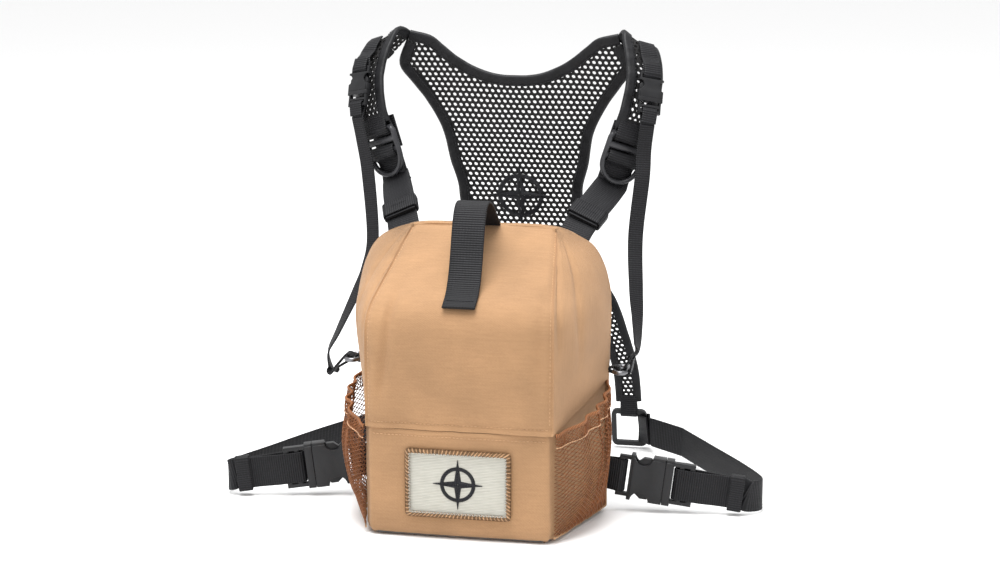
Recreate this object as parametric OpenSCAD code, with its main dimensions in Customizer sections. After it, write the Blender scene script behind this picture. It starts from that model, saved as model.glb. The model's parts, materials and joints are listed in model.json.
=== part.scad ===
// Binocular harness pack: a canvas chest pack with a forward-opening lid, two side
// net pockets, and a mesh back yoke whose shoulder straps and waist webbing hold it
// to the wearer. Millimetres, +Z up, origin at the centre of the pack's flat bottom,
// front of the pack towards -Y. Left and right are as seen from the front.

/* [Pack] */
// Width of the front panel between its corner seams
front_w = 140; // [110:1:180]
// Width across the rear of the pack
back_w = 188; // [140:1:220]
// Front to rear depth of the pack, without the back panel
pack_d = 94; // [70:1:120]
// Height of the rear top edge
pack_h = 222; // [180:1:270]
// Height of the lid's front seam, which is its fold line
seam_h = 83; // [60:1:110]
// Height where the lid's front leans back
crease_h = 170; // [140:1:200]
// Rise of the lid's lower edge from the front seam to the rear
gusset_rise = 22; // [10:1:40]
// Width of the lid's rear top edge
top_w = 112; // [80:1:140]
// Canvas thickness
canvas_t = 1.8; // [1:0.1:3]
// Thickness of the padded liner
liner_t = 3; // [2:0.5:6]
// Thickness of the padded back panel
back_t = 8; // [5:0.5:12]
// Thickness of the stiff board in the bottom
board_t = 2; // [1:0.5:4]

/* [Patch] */
// Width of the sewn patch
patch_w = 80; // [50:1:100]
// Height of the sewn patch
patch_h = 52; // [30:1:60]
// Height of the patch's middle above the bottom
patch_z = 43; // [35:1:50]
// Width of the patch's overlocked border
border_w = 4; // [3:0.5:6]

/* [Side pockets] */
// How far each net pocket stands out from the pack
pocket_bulge = 16; // [10:1:30]
// Net thickness
net_t = 1.4; // [1:0.1:2]
// Height of the gathered hem band
hem_h = 11; // [6:1:16]

/* [Lid pull and magnets] */
// Width of the pull webbing
pull_w = 25; // [15:1:40]
// Finger room under the pull
pull_rise = 38; // [15:1:45]
// Diameter of each closing magnet
magnet_d = 18; // [10:1:22]
// Thickness of each closing magnet
magnet_t = 2; // [1:0.5:2.5]
// Distance between the two closing magnets
magnet_pitch = 60; // [40:1:80]

/* [Harness] */
// Distance from the pack's rear to the foot of the yoke
harness_gap = 188; // [150:1:240]
// Forward lean of the yoke, in degrees
yoke_lean = 13; // [5:1:20]
// Height of the middle of the collar along the yoke
collar_h = 332; // [290:1:380]
// Width of the yoke at its narrowest visible place
neck_w = 102; // [80:1:120]
// Spacer mesh thickness
mesh_t = 3.4; // [2:0.1:5]
// Binding thickness over both faces
binding_t = 4.6; // [4:0.1:8]
// Width of the binding along the edges
binding_w = 9; // [5:1:12]
// Width of the shoulder straps
strap_w = 30; // [24:1:40]
// Width of each lower leg of the yoke
leg_w = 22; // [16:1:24]

/* [Webbing and buckles] */
// Width of the main webbing
web_w = 25; // [20:1:25]
// Webbing thickness
web_t = 1.6; // [1:0.1:2]
// Size of the tether buckles against the waist buckles
tether_scale = 0.55; // [0.5:0.01:0.7]
// Width of the tether webbing
tether_w = 14; // [10:1:15]
// Travel of a released buckle plug
release_travel = 27; // [26:1:40]

/* [Hidden] */

$fn = 32;
gap = 0.3;                                     // clearance between bodies
tiny = 0.01;
skim = 0.1;                                    // a strap lies this far off the face it is sewn to
big = 600;
canvas = "#c9a074";
rust = "#9a5a30";
black = "#2b2b2f";

front_y = -pack_d/2;
rear_y = pack_d/2;
back_y = rear_y + back_t;                      // the back panel's rear face
side_turn = atan((back_w - front_w)/2/pack_d); // plan angle of each side
cut_tilt = atan(gusset_rise/pack_d);
crown_h = 16;                                  // the rear top corners' drop, first bevel
shoulder_h = 52;                               // the rear top corners' drop, where the side starts
bevel = 6;                                     // bevel of the front corners
side_swell = 3;                                // how far the rear edge swells out on its way up
crown_in = 8;                                  // the rear top corners' step in, first bevel
bite = 1;                                      // overlap of a cut past a face
bar_share = 0.75;                              // a loop's inner radius against its bar's thickness
bend_steps = 6;                                // steps of a strap's half turn round a bar
tail_share = 0.9;                              // a folded tail's length against its run
fold_gap = 0.15;                               // half the space between a strap and its folded tail

function unit(v) = v/norm(v);
function cross_part(v, along) = unit(v - (v*along)*along);
// A placing matrix with local z along one direction and local x towards another
function frame_at(p, along, across) =
    let (z = unit(along), x = cross_part(across, z), y = cross(z, x))
    [[x[0], y[0], z[0], p[0]], [x[1], y[1], z[1], p[1]], [x[2], y[2], z[2], p[2]], [0, 0, 0, 1]];
function across(f) = [for (r = [0:2]) f[r][0]];
function placed(f, p) = [for (r = [0:2]) f[r]*[p[0], p[1], p[2], 1]];
function arc(r, from, to, n) = [for (k = [0:n]) let (a = from + (to - from)*k/n) [r*cos(a), r*sin(a)]];
function spot(a, b, c, d, t) =
    0.5*(2*b + (c - a)*t + (2*a - 5*b + 4*c - d)*t*t + (3*b - a - 3*c + d)*t*t*t);
// A smooth curve through a list of points, with n steps between neighbours
function smooth(p, n) = let (last = len(p) - 1) concat([for (i = [0:last - 1]) for (k = [0:n - 1])
    spot(p[max(i - 1, 0)], p[i], p[i + 1], p[min(i + 2, last)], k/n)], [p[last]]);
function heading(p, i) = unit(p[min(i + 1, len(p) - 1)] - p[max(i - 1, 0)]);
// A place on a strap: sideways towards its width direction, and outwards along its normal
function on_strap(p, dirs, i, side, out) =
    let (t = heading(p, i), w = cross_part(dirs[i], t)) p[i] + w*side + cross(w, t)*out;

// The way a strap's end goes round a bar and back: from its main run, round, to the sewn tail
function hook(c, along, out, r, leg) = let (a = unit(along), n = unit(out - (out*a)*a)) concat(
    [c + a*leg + n*(web_t/2 + fold_gap)],
    [for (q = arc(r, 90, -90, bend_steps)) c - a*q[0] + n*q[1]],
    [c + a*leg*tail_share - n*(web_t/2 + fold_gap)]);
function turned(list) = [for (k = [len(list) - 1:-1:0]) list[k]];

// A flat strap swept along points, with its width along the given directions
module strap(p, dirs, w, t) {
    n = len(p);
    corners = [[-1, -1], [1, -1], [1, 1], [-1, 1]];
    rings = [for (i = [0:n - 1]) for (c = corners) on_strap(p, dirs, i, c[0]*w/2, c[1]*t/2)];
    sides = [for (i = [0:n - 2]) for (k = [0:3]) let (a = 4*i + k, b = 4*i + (k + 1)%4)
        each [[a, b, a + 4], [b, b + 4, a + 4]]];
    polyhedron(rings, concat([[0, 2, 1], [0, 3, 2]], sides,
        [[4*n - 4, 4*n - 3, 4*n - 2], [4*n - 4, 4*n - 2, 4*n - 1]]));
}

module side(s) {
    if (s < 0) mirror([1, 0, 0]) children();
    else children();
}

// A webbing loop round a bar at the origin that lies along x; its legs run up to a sewn end
module bar_loop(r, w, length) {
    rotate([90, 0, 90]) translate([0, 0, -w/2]) linear_extrude(w) difference() {
        union() {
            circle(r + web_t);
            translate([-r - web_t, 0]) square([2*(r + web_t), length]);
        }
        circle(r);
        translate([-r, 0]) square([2*r, length - web_t]);
    }
}

// ---- pack outlines -----------------------------------------------------------------------
// Plan of the pack, pulled in by a wall
function plan(inset) = let (f = front_w/2 - inset, b = back_w/2 - inset, y = front_y + inset) [
    [-f + bevel, y], [f - bevel, y], [f, y + bevel/2], [b, rear_y - inset],
    [-b, rear_y - inset], [-f, y + bevel/2]];
// Outline of the rear face, pulled in by a wall
function rear_outline(inset) = let (b = back_w/2 - inset, t = top_w/2, h = pack_h - inset) [
    [-b, 0], [b, 0], [b + side_swell, h - shoulder_h], [b - crown_in, h - crown_h], [t, h],
    [-t, h], [-b + crown_in, h - crown_h], [-b - side_swell, h - shoulder_h]];

module upright(y, t) {
    translate([0, y + t, 0]) rotate([90, 0, 0]) linear_extrude(t) children();
}

// The closed outer form of pack and lid
module pack_form(inset, behind = 0) {
    slab = 1;
    hull() {
        upright(front_y + inset, slab) translate([-front_w/2 + inset, 0])
            square([front_w - 2*inset, crease_h - inset]);
        upright(rear_y - slab + behind, slab) polygon(rear_outline(inset));
    }
}

// Everything above the lid's lower edge
module above_cut(lift) {
    translate([0, front_y, seam_h + lift]) rotate([cut_tilt, 0, 0])
        translate([-big/2, -big/2, 0]) cube(big);
}

// ---- pack ---------------------------------------------------------------------------------
module pack_shell() {
    color(canvas) difference() {
        linear_extrude(pack_h) polygon(plan(0));
        translate([0, 0, canvas_t]) linear_extrude(pack_h) polygon(plan(canvas_t));
        above_cut(-gap);
    }
}

module panel_body() {
    upright(rear_y, back_t) polygon(rear_outline(0));
}

module back_panel() {
    color(canvas) difference() {
        panel_body();
        magnet_places() cylinder(d = magnet_d, h = magnet_t, center = true);
    }
}

lid_hem_t = magnet_t + canvas_t;               // the hem inside the lid's rear top edge
hem_drop = 32;
hem_gap = gap;
magnet_z = pack_h - hem_drop/2 - canvas_t;

module magnet_places() {
    for (s = [-1, 1])
        translate([s*magnet_pitch/2, rear_y + canvas_t + magnet_t/2, magnet_z]) rotate([90, 0, 0]) children();
}

module lid_magnet_places() {
    for (s = [-1, 1])
        translate([s*magnet_pitch/2, rear_y - hem_gap - canvas_t/2 - magnet_t/2, magnet_z])
            rotate([90, 0, 0]) children();
}

module back_magnets() {
    color("silver") magnet_places() cylinder(d = magnet_d, h = magnet_t, center = true);
}

module lid_magnets() {
    color("silver") lid_magnet_places() cylinder(d = magnet_d, h = magnet_t, center = true);
}

module base_board() {
    color("dimgray") translate([0, 0, canvas_t]) linear_extrude(board_t) polygon(plan(canvas_t + gap));
}

// The padded bucket that holds the binocular; its rim stands up inside the lid
module inner_liner() {
    floor_z = canvas_t + board_t;
    rim = 24;
    out = canvas_t + 2*gap;
    color("#6d5a45") difference() {
        translate([0, 0, floor_z]) linear_extrude(pack_h) polygon(plan(out));
        translate([0, 0, floor_z + liner_t]) linear_extrude(pack_h) polygon(plan(out + liner_t));
        above_cut(rim);
    }
}

// ---- patch --------------------------------------------------------------------------------
patch_t = 1.4;
emblem_t = 0.8;
border_t = 2;

module star(r, waist) {
    points = 4;
    polygon([for (k = [0:2*points - 1]) let (a = 90 + k*180/points, q = k%2 == 0 ? r : waist)
        [q*cos(a), q*sin(a)]]);
}

// A plain compass: a ring with a four-pointed star through it
module compass(r) {
    band = r*0.16;
    difference() {
        circle(r*0.72);
        circle(r*0.72 - band);
    }
    star(r, r*0.2);
}

module on_front(z, out, t) {
    translate([0, front_y - out, z]) rotate([90, 0, 0]) linear_extrude(t) children();
}

module patch_field() {
    color("#ddd6c0") on_front(patch_z, 0, patch_t)
        square([patch_w - 2*border_w, patch_h - 2*border_w], center = true);
}

module patch_border() {
    color("#7a5230") on_front(patch_z, 0, border_t) difference() {
        square([patch_w, patch_h], center = true);
        square([patch_w - 2*border_w, patch_h - 2*border_w], center = true);
    }
}

module patch_emblem() {
    share = 0.36;
    color(black) on_front(patch_z, patch_t, emblem_t) compass(patch_h*share);
}

// ---- side pockets -------------------------------------------------------------------------
side_l = norm([pack_d, (back_w - front_w)/2]);
net_from = 0.035;
net_steps = 14;
net_round = 0.8;                               // below 1 the pocket's swell is fuller at its ends
// Plan of the net, from the front corner round to the rear, standing out by an offset
function net_line(out) = [for (k = [0:net_steps]) let (u = net_from + (1 - net_from)*k/net_steps,
    q = out + pocket_bulge*pow(sin(180*k/net_steps), net_round))
    [front_w/2 + u*(back_w - front_w)/2 + q*cos(side_turn), front_y + u*pack_d - q*sin(side_turn)]];

module net_band(inner, outer) {
    polygon(concat(net_line(outer), [for (k = [net_steps:-1:0]) net_line(inner)[k]]));
}

module pocket_net(s) {
    color(rust) side(s) difference() {
        union() {
            linear_extrude(pack_h) net_band(0, net_t);
            linear_extrude(net_t) polygon(net_line(0));
        }
        above_cut(-hem_h - 2*gap);
    }
}

module pocket_hem(s) {
    extra = 0.8;
    color(rust) side(s) difference() {
        intersection() {
            linear_extrude(pack_h) net_band(0, net_t + extra);
            above_cut(-hem_h - 2*gap);
        }
        above_cut(-2*gap);
    }
}

// ---- lid ----------------------------------------------------------------------------------
module lid_shell() {
    color(canvas) difference() {
        intersection() {
            union() {
                difference() {
                    pack_form(0, -hem_gap);
                    pack_form(canvas_t);
                    upright(rear_y - canvas_t - bite, canvas_t + 2*bite) polygon(rear_outline(canvas_t));
                }
                intersection() {
                    pack_form(canvas_t/2, -hem_gap);
                    translate([-top_w/2, rear_y - hem_gap - lid_hem_t, pack_h - hem_drop])
                        cube([top_w, lid_hem_t, hem_drop]);
                }
            }
            above_cut(gap);
        }
        lid_magnet_places() cylinder(d = magnet_d, h = magnet_t, center = true);
    }
}

slope = [0, rear_y - front_y, pack_h - crease_h];
pull_from = 0.04;
pull_to = 0.985;
pull_lift = web_t/2 + skim;
pull_flat = 0.1;                               // share that is sewn down at the front
pull_steps = 18;
pull_peak = 1.8;                               // above 1 the pull's arch stands nearer the rear
slope_up = unit([0, -slope[2], slope[1]]);
function pull_arch(u) = u < pull_flat ? 0 : sin(180*pow((u - pull_flat)/(1 - pull_flat), pull_peak));
pull_path = [for (k = [0:pull_steps]) let (u = k/pull_steps)
    [0, front_y, crease_h] + slope*(pull_from + (pull_to - pull_from)*u)
    + slope_up*(pull_lift + pull_rise*pull_arch(u))];

module lid_pull() {
    color(black) strap(pull_path, [for (p = pull_path) [1, 0, 0]], pull_w, web_t);
}

// ---- yoke ---------------------------------------------------------------------------------
foot_y = rear_y + harness_gap;

module in_yoke_plane(from, t) {
    translate([0, foot_y, 0]) rotate([yoke_lean + 90, 0, 0]) translate([0, 0, from])
        linear_extrude(t) children();
}
function yoke_point(x, v) = [x, foot_y - v*sin(yoke_lean), v*cos(yoke_lean)];

crest_h = collar_h + 36;                       // height of the shoulders along the yoke
corner_x = 84;
window_x = 95;
neck_h = 225;
yoke_base_h = 180;
// One half of the yoke's outline, from the middle of the collar to the middle of its base
yoke_half = [
    [0, collar_h], [18, collar_h + 1], [33, collar_h + 6], [46, collar_h + 14], [58, collar_h + 24],
    [68, collar_h + 32], [corner_x, crest_h], [window_x, crest_h - 28], [85, crest_h - 44],
    [74, crest_h - 60], [62, crest_h - 84], [neck_w/2 + 6, neck_h + 32], [neck_w/2 + 1, neck_h + 14],
    [neck_w/2, neck_h], [neck_w/2 - 3, neck_h - 25], [neck_w/2, yoke_base_h], [0, yoke_base_h - 8]];

module yoke_outline() {
    n = len(yoke_half) - 1;
    polygon(concat(yoke_half, [for (k = [n - 1:-1:1]) [-yoke_half[k][0], yoke_half[k][1]]]));
}

module yoke_mesh() {
    color("#4a4a4c") in_yoke_plane(-mesh_t/2, mesh_t) offset(delta = -binding_w) yoke_outline();
}

module yoke_binding() {
    color(black) in_yoke_plane(-binding_t/2, binding_t) difference() {
        yoke_outline();
        offset(delta = -binding_w) yoke_outline();
    }
}

module yoke_emblem() {
    emblem_r = 27;
    color("#38343c") in_yoke_plane(mesh_t/2, emblem_t) translate([0, neck_h + 4]) compass(emblem_r);
}

// ---- lower legs ---------------------------------------------------------------------------
ring_v = 19.5;                                 // the leg ring's middle along the yoke
ring_x = 85;
ring_w = 30;
ring_h = 34;
ring_bar = 4;
ring_r = 5;
leg_hem = 4;                                   // the leg's end narrows by this at each edge for its loop
leg_loop_h = 8;
leg_end_v = ring_v + ring_h/2 + leg_loop_h;
leg_line = smooth([[30, 192], [48, 165], [66, 135], [75, 107], [83, 74], [ring_x, leg_end_v]], 4);

module flat_strip(line, w) {
    edge = function(s) [for (i = [0:len(line) - 1]) let (t = heading(line, i))
        line[i] + [t[1], -t[0]]*s*w/2];
    a = edge(1);
    b = edge(-1);
    polygon(concat(a, [for (k = [len(b) - 1:-1:0]) b[k]]));
}

module yoke_leg(s) {
    color(black) side(s) {
        in_yoke_plane(-mesh_t/2, mesh_t) difference() {
            flat_strip(leg_line, leg_w);
            yoke_outline();
        }
        multmatrix(frame_at(yoke_point(ring_x, ring_v + ring_h/2 - ring_bar/2),
            yoke_point(0, 1) - yoke_point(0, 0), [1, 0, 0]))
            bar_loop(ring_bar*bar_share, leg_w - 2*leg_hem, leg_loop_h + ring_bar/2 + tiny);
    }
}

module frame_2d(w, h, bar, r) {
    difference() {
        round_2d(w, h, r);
        square([w - 2*bar, h - 2*bar], center = true);
    }
}

module round_2d(w, h, r) {
    square([w - 2*r, h], center = true);
    square([w, h - 2*r], center = true);
    for (x = [-1, 1], y = [-1, 1]) translate([x*(w/2 - r), y*(h/2 - r)]) circle(r);
}

module leg_ring(s) {
    color(black) side(s) in_yoke_plane(-ring_bar/2, ring_bar) translate([ring_x, ring_v])
        frame_2d(ring_w, ring_h, ring_bar, ring_r);
}

// ---- shoulder straps ----------------------------------------------------------------------
pad_t = 4;
lock_w = web_w + 8;
lock_h = 40;
lock_t = 4;
lock_bar = 4;
lock_slot = 5;
loop_run = 3;                                  // from a ladder lock up to the strap's padded end
lock_up = unit([0.31, 0.07, 0.95]);
lock_mid = [95, back_y + 54.5, 265.5];
lock_frame = frame_at(lock_mid, lock_up, [0.88, 0.42, 0]);
strap_end = lock_mid + lock_up*(lock_h/2 + loop_run);
shoulder_from = yoke_point(corner_x + 10, crest_h - 13);
shoulder_path = smooth([shoulder_from, [101, back_y + 88, 353], [107, back_y + 76, 344],
    [110, back_y + 66, 325], strap_end + lock_up*14, strap_end], 5);
shoulder_dirs = smooth([[0.55, 0.1, -0.8], [0.8, 0.1, -0.5], [0.85, 0.35, -0.25], [0.85, 0.5, 0],
    across(lock_frame), across(lock_frame)], 5);

module shoulder_pad() {
    difference() {
        strap(shoulder_path, shoulder_dirs, strap_w, pad_t);
        in_yoke_plane(-binding_t/2, binding_t) yoke_outline();
    }
}

module shoulder_strap(s) {
    color(black) side(s) {
        shoulder_pad();
        multmatrix(lock_frame) translate([0, 0, lock_h/2 - lock_bar/2])
            bar_loop(lock_bar*bar_share, web_w, lock_bar/2 + loop_run + web_t);
    }
}

// A flat frame with a straight top, three bars and a round foot
module ladder_lock(s) {
    foot = lock_w/2;
    rail = 3;
    open_w = lock_w - 2*rail;
    color("#333336") side(s) multmatrix(lock_frame) rotate([90, 0, 0]) translate([0, 0, -lock_t/2])
        linear_extrude(lock_t) difference() {
            union() {
                translate([-lock_w/2, -lock_h/2 + foot]) square([lock_w, lock_h - foot]);
                translate([0, -lock_h/2 + foot]) circle(foot);
            }
            for (k = [1:2]) translate([-open_w/2, lock_h/2 - k*(lock_slot + lock_bar)])
                square([open_w, lock_slot]);
            intersection() {
                translate([0, -lock_h/2 + foot]) circle(foot - rail);
                translate([-open_w/2, -lock_h/2]) square([open_w, lock_h - 3*lock_bar - 2*lock_slot]);
            }
        }
}

// ---- top webbing --------------------------------------------------------------------------
keeper_h = 16;
keeper_wall = 1.5;
keeper_slack = 1.2;
layer_y = 1.4;                                 // two layers of webbing lie this far from a keeper's middle
anchor_x = 66;                                 // where the top webbing leaves the back panel
sewn_l = 26;
free_from = 12;
top_keeper_at = [74, back_y + 21, pack_h + 5];
lock_foot = placed(lock_frame, [0, 4, -lock_h/2 - 3]);
keeper_frame = frame_at(top_keeper_at, lock_foot - top_keeper_at, [0.92, -0.05, -0.35]);
panel_face = back_y + web_t/2 + skim;
// Past the lock, as (out of its plane, along it): up behind its foot, through the lower slot,
// over the third bar and back behind the foot
lock_lap = [[4.2, -22.4], [5.2, -18], [5.2, -4], [4.9, -1], [4.2, 2], [2.6, 3.7], [0, 4.3], [-2.6, 3.7],
    [-3.6, 1.5], [-3.6, -1.5], [-2.4, -3.5], [-0.6, -4.4], [1.4, -5.4], [2.9, -7.2], [3.2, -10], [3.2, -17],
    [2.7, -20.6]];
top_path = concat(
    [[anchor_x, panel_face, pack_h - sewn_l], [anchor_x, panel_face + 1.2, pack_h - free_from]],
    [for (z = [-keeper_h/2, keeper_h/2]) placed(keeper_frame, [0, layer_y, z])],
    [for (q = lock_lap) placed(lock_frame, [0, q[0], q[1]])],
    [for (z = [keeper_h/2, -keeper_h/2 - 2]) placed(keeper_frame, [0, -layer_y, z])]);
top_last = len(top_path) - 1;
function top_across(k) = k < 2 ? [1, 0, 0]
    : k < 4 || k > top_last - 2 ? across(keeper_frame) : across(lock_frame);

module top_webbing(s) {
    color(black) side(s) strap(top_path, [for (k = [0:top_last]) top_across(k)], web_w, web_t);
}

module keeper_band(length) {
    inner_t = 2*web_t + 4*gap + keeper_slack;
    translate([0, 0, -length/2]) linear_extrude(length) difference() {
        square([web_w + 2*gap + 2*keeper_wall, inner_t + 2*keeper_wall], center = true);
        square([web_w + 2*gap, inner_t], center = true);
    }
}

module top_keeper(s) {
    color(black) side(s) multmatrix(keeper_frame) keeper_band(keeper_h);
}

// ---- side-release buckle ------------------------------------------------------------------
// Local z runs from the socket's bar to the plug's end, x across the width, y through it.
buckle_w = web_w + 11;
buckle_t = 11;
web_slot = web_w + 2;
end_bar = 4;
end_slot = 5;
mouth_z = 36;
flange_t = 6;
plug_end = 59;
prong_tip_z = 14;
knuckle = [9, 39];
knuckle_r = 2.6;
prong_t = 5.2;
wall = 1.2;                                    // the socket's side walls
cavity_w = buckle_w - 2*wall;
cavity_t = 6.4;
edge_in = 4;                                   // the thick middle plates are narrower by this
edge_down = 2;                                 // and the wide plates thinner by this
window_r = 7;
window_z = prong_tip_z + 5;

end_bar_t = 5;
bar_reach = norm([end_bar, end_bar_t])/2 + skim;// inner radius of webbing round the end bar
plug_bar_t = 6;
ladder_z = mouth_z + gap + flange_t;
mid_bar = 3.5;
far_slot_w = 4.5;
far_slot = plug_end - end_bar - far_slot_w;
mid_z = far_slot - mid_bar;

module plate(w, t, from, to) {
    translate([-w/2, -t/2, from]) cube([w, t, to - from]);
}

module socket_body() {
    difference() {
        union() {
            plate(buckle_w - edge_in, end_bar_t, 0, end_bar + end_slot + bite);
            plate(buckle_w, buckle_t - edge_down, end_bar + end_slot, mouth_z);
            plate(buckle_w - edge_in, buckle_t, end_bar + end_slot + edge_down, mouth_z);
        }
        plate(web_slot, buckle_t, end_bar, end_bar + end_slot);
        plate(cavity_w, cavity_t, end_bar + end_slot + edge_down, mouth_z + bite);
        for (s = [-1, 1]) translate([s*buckle_w/2, 0, window_z]) rotate([90, 0, 0])
            cylinder(r = window_r, h = buckle_t + 2*bite, center = true);
    }
}

module plug_body() {
    tongue_w = 7;
    tongue_z = 21;
    plug_in = 3;
    difference() {
        union() {
            plate(buckle_w, buckle_t - edge_down, mouth_z + gap, ladder_z);
            plate(buckle_w - edge_in, buckle_t, mouth_z + gap, ladder_z);
            plate(buckle_w - plug_in, plug_bar_t, ladder_z - tiny, plug_end);
            plate(tongue_w, cavity_t - edge_down, tongue_z, mouth_z + gap + tiny);
        }
        plate(web_slot, buckle_t, ladder_z, mid_z);
        plate(web_slot, buckle_t, far_slot, plug_end - end_bar);
        for (s = [-1, 1]) translate([s*knuckle[0], 0, knuckle[1]]) {
            rotate([90, 0, 0]) cylinder(r = knuckle_r + gap, h = prong_t + 2*gap, center = true);
            translate([-knuckle_r - gap - bite, -prong_t/2 - gap, -knuckle[1]])
                cube([2*(knuckle_r + gap + bite), prong_t + 2*gap, knuckle[1]]);
        }
    }
}

barb = [2.4, 28, 24.5, 19];                    // the prong's step out, and the barb's heights

module prong_body() {
    root = knuckle[0];
    play = 0.5;
    half = 2;
    reach = cavity_w/2 - play;
    translate([root, 0, knuckle[1]]) rotate([90, 0, 0]) cylinder(r = knuckle_r, h = prong_t, center = true);
    rotate([90, 0, 0]) translate([0, 0, -prong_t/2]) linear_extrude(prong_t)
        polygon([[root - half, knuckle[1]], [root + half, knuckle[1]], [root + barb[0], barb[1]],
            [reach, barb[2]], [reach, barb[3]], [root + half + bite, prong_tip_z],
            [root - half, prong_tip_z]]);
}

// ---- waist buckles and webbing ------------------------------------------------------------
buckle_rise = 29;
waist_bar = [back_w/2 + 9, back_y - 2, buckle_rise];
waist_runs = [[57, -14, -7], [57, 3, -7]];      // the left buckle points further forward than the right one
function waist_frame(s) = frame_at(waist_bar, waist_runs[s < 0 ? 0 : 1], [0, 0, 1]);

module waist_socket(s) {
    color(black) side(s) multmatrix(waist_frame(s)) socket_body();
}

module waist_plug(s) {
    color(black) side(s) multmatrix(waist_frame(s)) plug_body();
}

module upper_prong(s) {
    color("#3a3a3e") side(s) multmatrix(waist_frame(s)) prong_body();
}

module lower_prong(s) {
    color("#3a3a3e") side(s) multmatrix(waist_frame(s)) mirror([1, 0, 0]) prong_body();
}

// The short webbing that holds the socket to the pack's rear corner
module pack_tab(s) {
    f = waist_frame(s);
    bar_at = placed(f, [0, 0, end_bar/2]);
    color(black) side(s) difference() {
        multmatrix(frame_at(bar_at, cross_part([-1, 0, 0], across(f)), across(f)))
            bar_loop(bar_reach, web_w, bar_at[0] - back_w/2 + bite);
        panel_body();
    }
}

tail_z = 96;
waist_keeper_z = 92;
waist_keeper_h = 11;
fold_in = 0.5;
plug_run = 2;                                  // the webbing leaves the plug this far past its end
fold_z = mid_z + fold_in;
plug_face = plug_bar_t/2 + web_t/2 + 2*skim;
bend_y = back_y - 4;
ring_leg = 14;
waist_routes = [
    [[202.5, bend_y - 20, 16], [206, bend_y - 13, 14.5], [203, bend_y - 2, 14], [187, bend_y + 36, 14],
        [163, bend_y + 90, 15], [134, bend_y + 140, 17]],
    [[204, bend_y + 9, 15], [212, bend_y + 19, 14], [209, bend_y + 33, 14], [192, bend_y + 64, 14],
        [164, bend_y + 106, 15], [134, bend_y + 148, 17]]];
// From the folded tail, through the plug, out past the keeper, round the bend to the leg ring
plug_points = 13;                              // the path's points that lie on the buckle's line
hook_points = bend_steps + 3;
web_play = 0.4;
across_ring = yoke_point(0, 1) - yoke_point(0, 0);
function waist_path(s) = let (f = waist_frame(s)) concat(
    [for (p = [[0, layer_y, tail_z], [0, layer_y, waist_keeper_z - waist_keeper_h],
        [0, plug_face, plug_end + plug_run]]) placed(f, p)],
    [for (q = arc(plug_face, 0, 180, bend_steps)) placed(f, [0, q[0], fold_z - q[1]])],
    [for (p = [[0, -plug_face, plug_end + plug_run], [0, -layer_y, waist_keeper_z - waist_keeper_h],
        [0, -layer_y, waist_keeper_z + waist_keeper_h/2]]) placed(f, p)],
    smooth(waist_routes[s < 0 ? 0 : 1], 4),
    hook(ring_side, [22, -48, 0], [1, 0.4, 0], ring_bar*bar_share + web_t/2 + 2*gap, ring_leg));
ring_side = yoke_point(ring_x + ring_w/2 - ring_bar/2, ring_v);

module waist_webbing(s) {
    path = waist_path(s);
    turns = len(path) - 1;
    color(black) side(s) strap(path, [for (k = [0:turns]) k < plug_points ? across(waist_frame(s))
        : k > turns - hook_points ? across_ring : [0, 0, 1]], web_w - web_play, web_t);
}

module waist_keeper(s) {
    color(black) side(s) multmatrix(waist_frame(s)) translate([0, 0, waist_keeper_z])
        keeper_band(waist_keeper_h);
}

// ---- tethers ------------------------------------------------------------------------------
tether_at = 14;                                // the shoulder strap's ring in front of which the stub ends
stub_from = 7;                                 // the ring where it starts
stub_side = 4;
stub_short = 3;                                // rings between the stub's last one and the buckle's
tether_bar = on_strap(shoulder_path, shoulder_dirs, tether_at, 3, -7);
tether_down = unit([0, -0.4, -0.92]);
tether_frame = frame_at(tether_bar, tether_down, [0.86, 0.5, 0]);
tether_out = [0.5, -0.86, 0];                  // away from the strap

module tether_socket(s) {
    color(black) side(s) multmatrix(tether_frame) scale(tether_scale) socket_body();
}

module tether_plug(s) {
    color(black) side(s) multmatrix(tether_frame) scale(tether_scale) plug_body();
}

module tether_outer_prong(s) {
    color("#3a3a3e") side(s) multmatrix(tether_frame) scale(tether_scale) prong_body();
}

module tether_inner_prong(s) {
    color("#3a3a3e") side(s) multmatrix(tether_frame) scale(tether_scale) mirror([1, 0, 0]) prong_body();
}

module tether_stub(s) {
    lift = pad_t/2 + web_t/2 + gap;
    stub_leg = 9;
    loop = hook(placed(tether_frame, [0, 0, tether_scale*end_bar/2]), -tether_down, -tether_out,
        tether_scale*bar_reach + web_t/2, stub_leg);
    rings = [stub_from:tether_at - stub_short];
    path = concat([for (i = rings) on_strap(shoulder_path, shoulder_dirs, i, stub_side, -lift)], loop);
    dirs = concat([for (i = rings) shoulder_dirs[i]], [for (p = loop) across(tether_frame)]);
    color(black) side(s) difference() {
        strap(path, dirs, tether_w, web_t);
        shoulder_pad();
    }
}

tether_top = placed(tether_frame, [0, 0, tether_scale*(plug_end - end_bar/2)]);
tether_leg = 10;
tether_start = tether_top + tether_down*tether_leg;
tether_r = tether_scale*(norm([end_bar, plug_bar_t])/2 + skim) + web_t/2;
clip = [back_w/2 + 7, rear_y + back_t/2, 112];  // the side ring's bar
clip_d = 9;
clip_wire = 1.7;
clip_leg = 12;
tab_w = 7;
tether_play = 2;
shortest = 0.2;                                // shorter steps are left out of the tether's path
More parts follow.
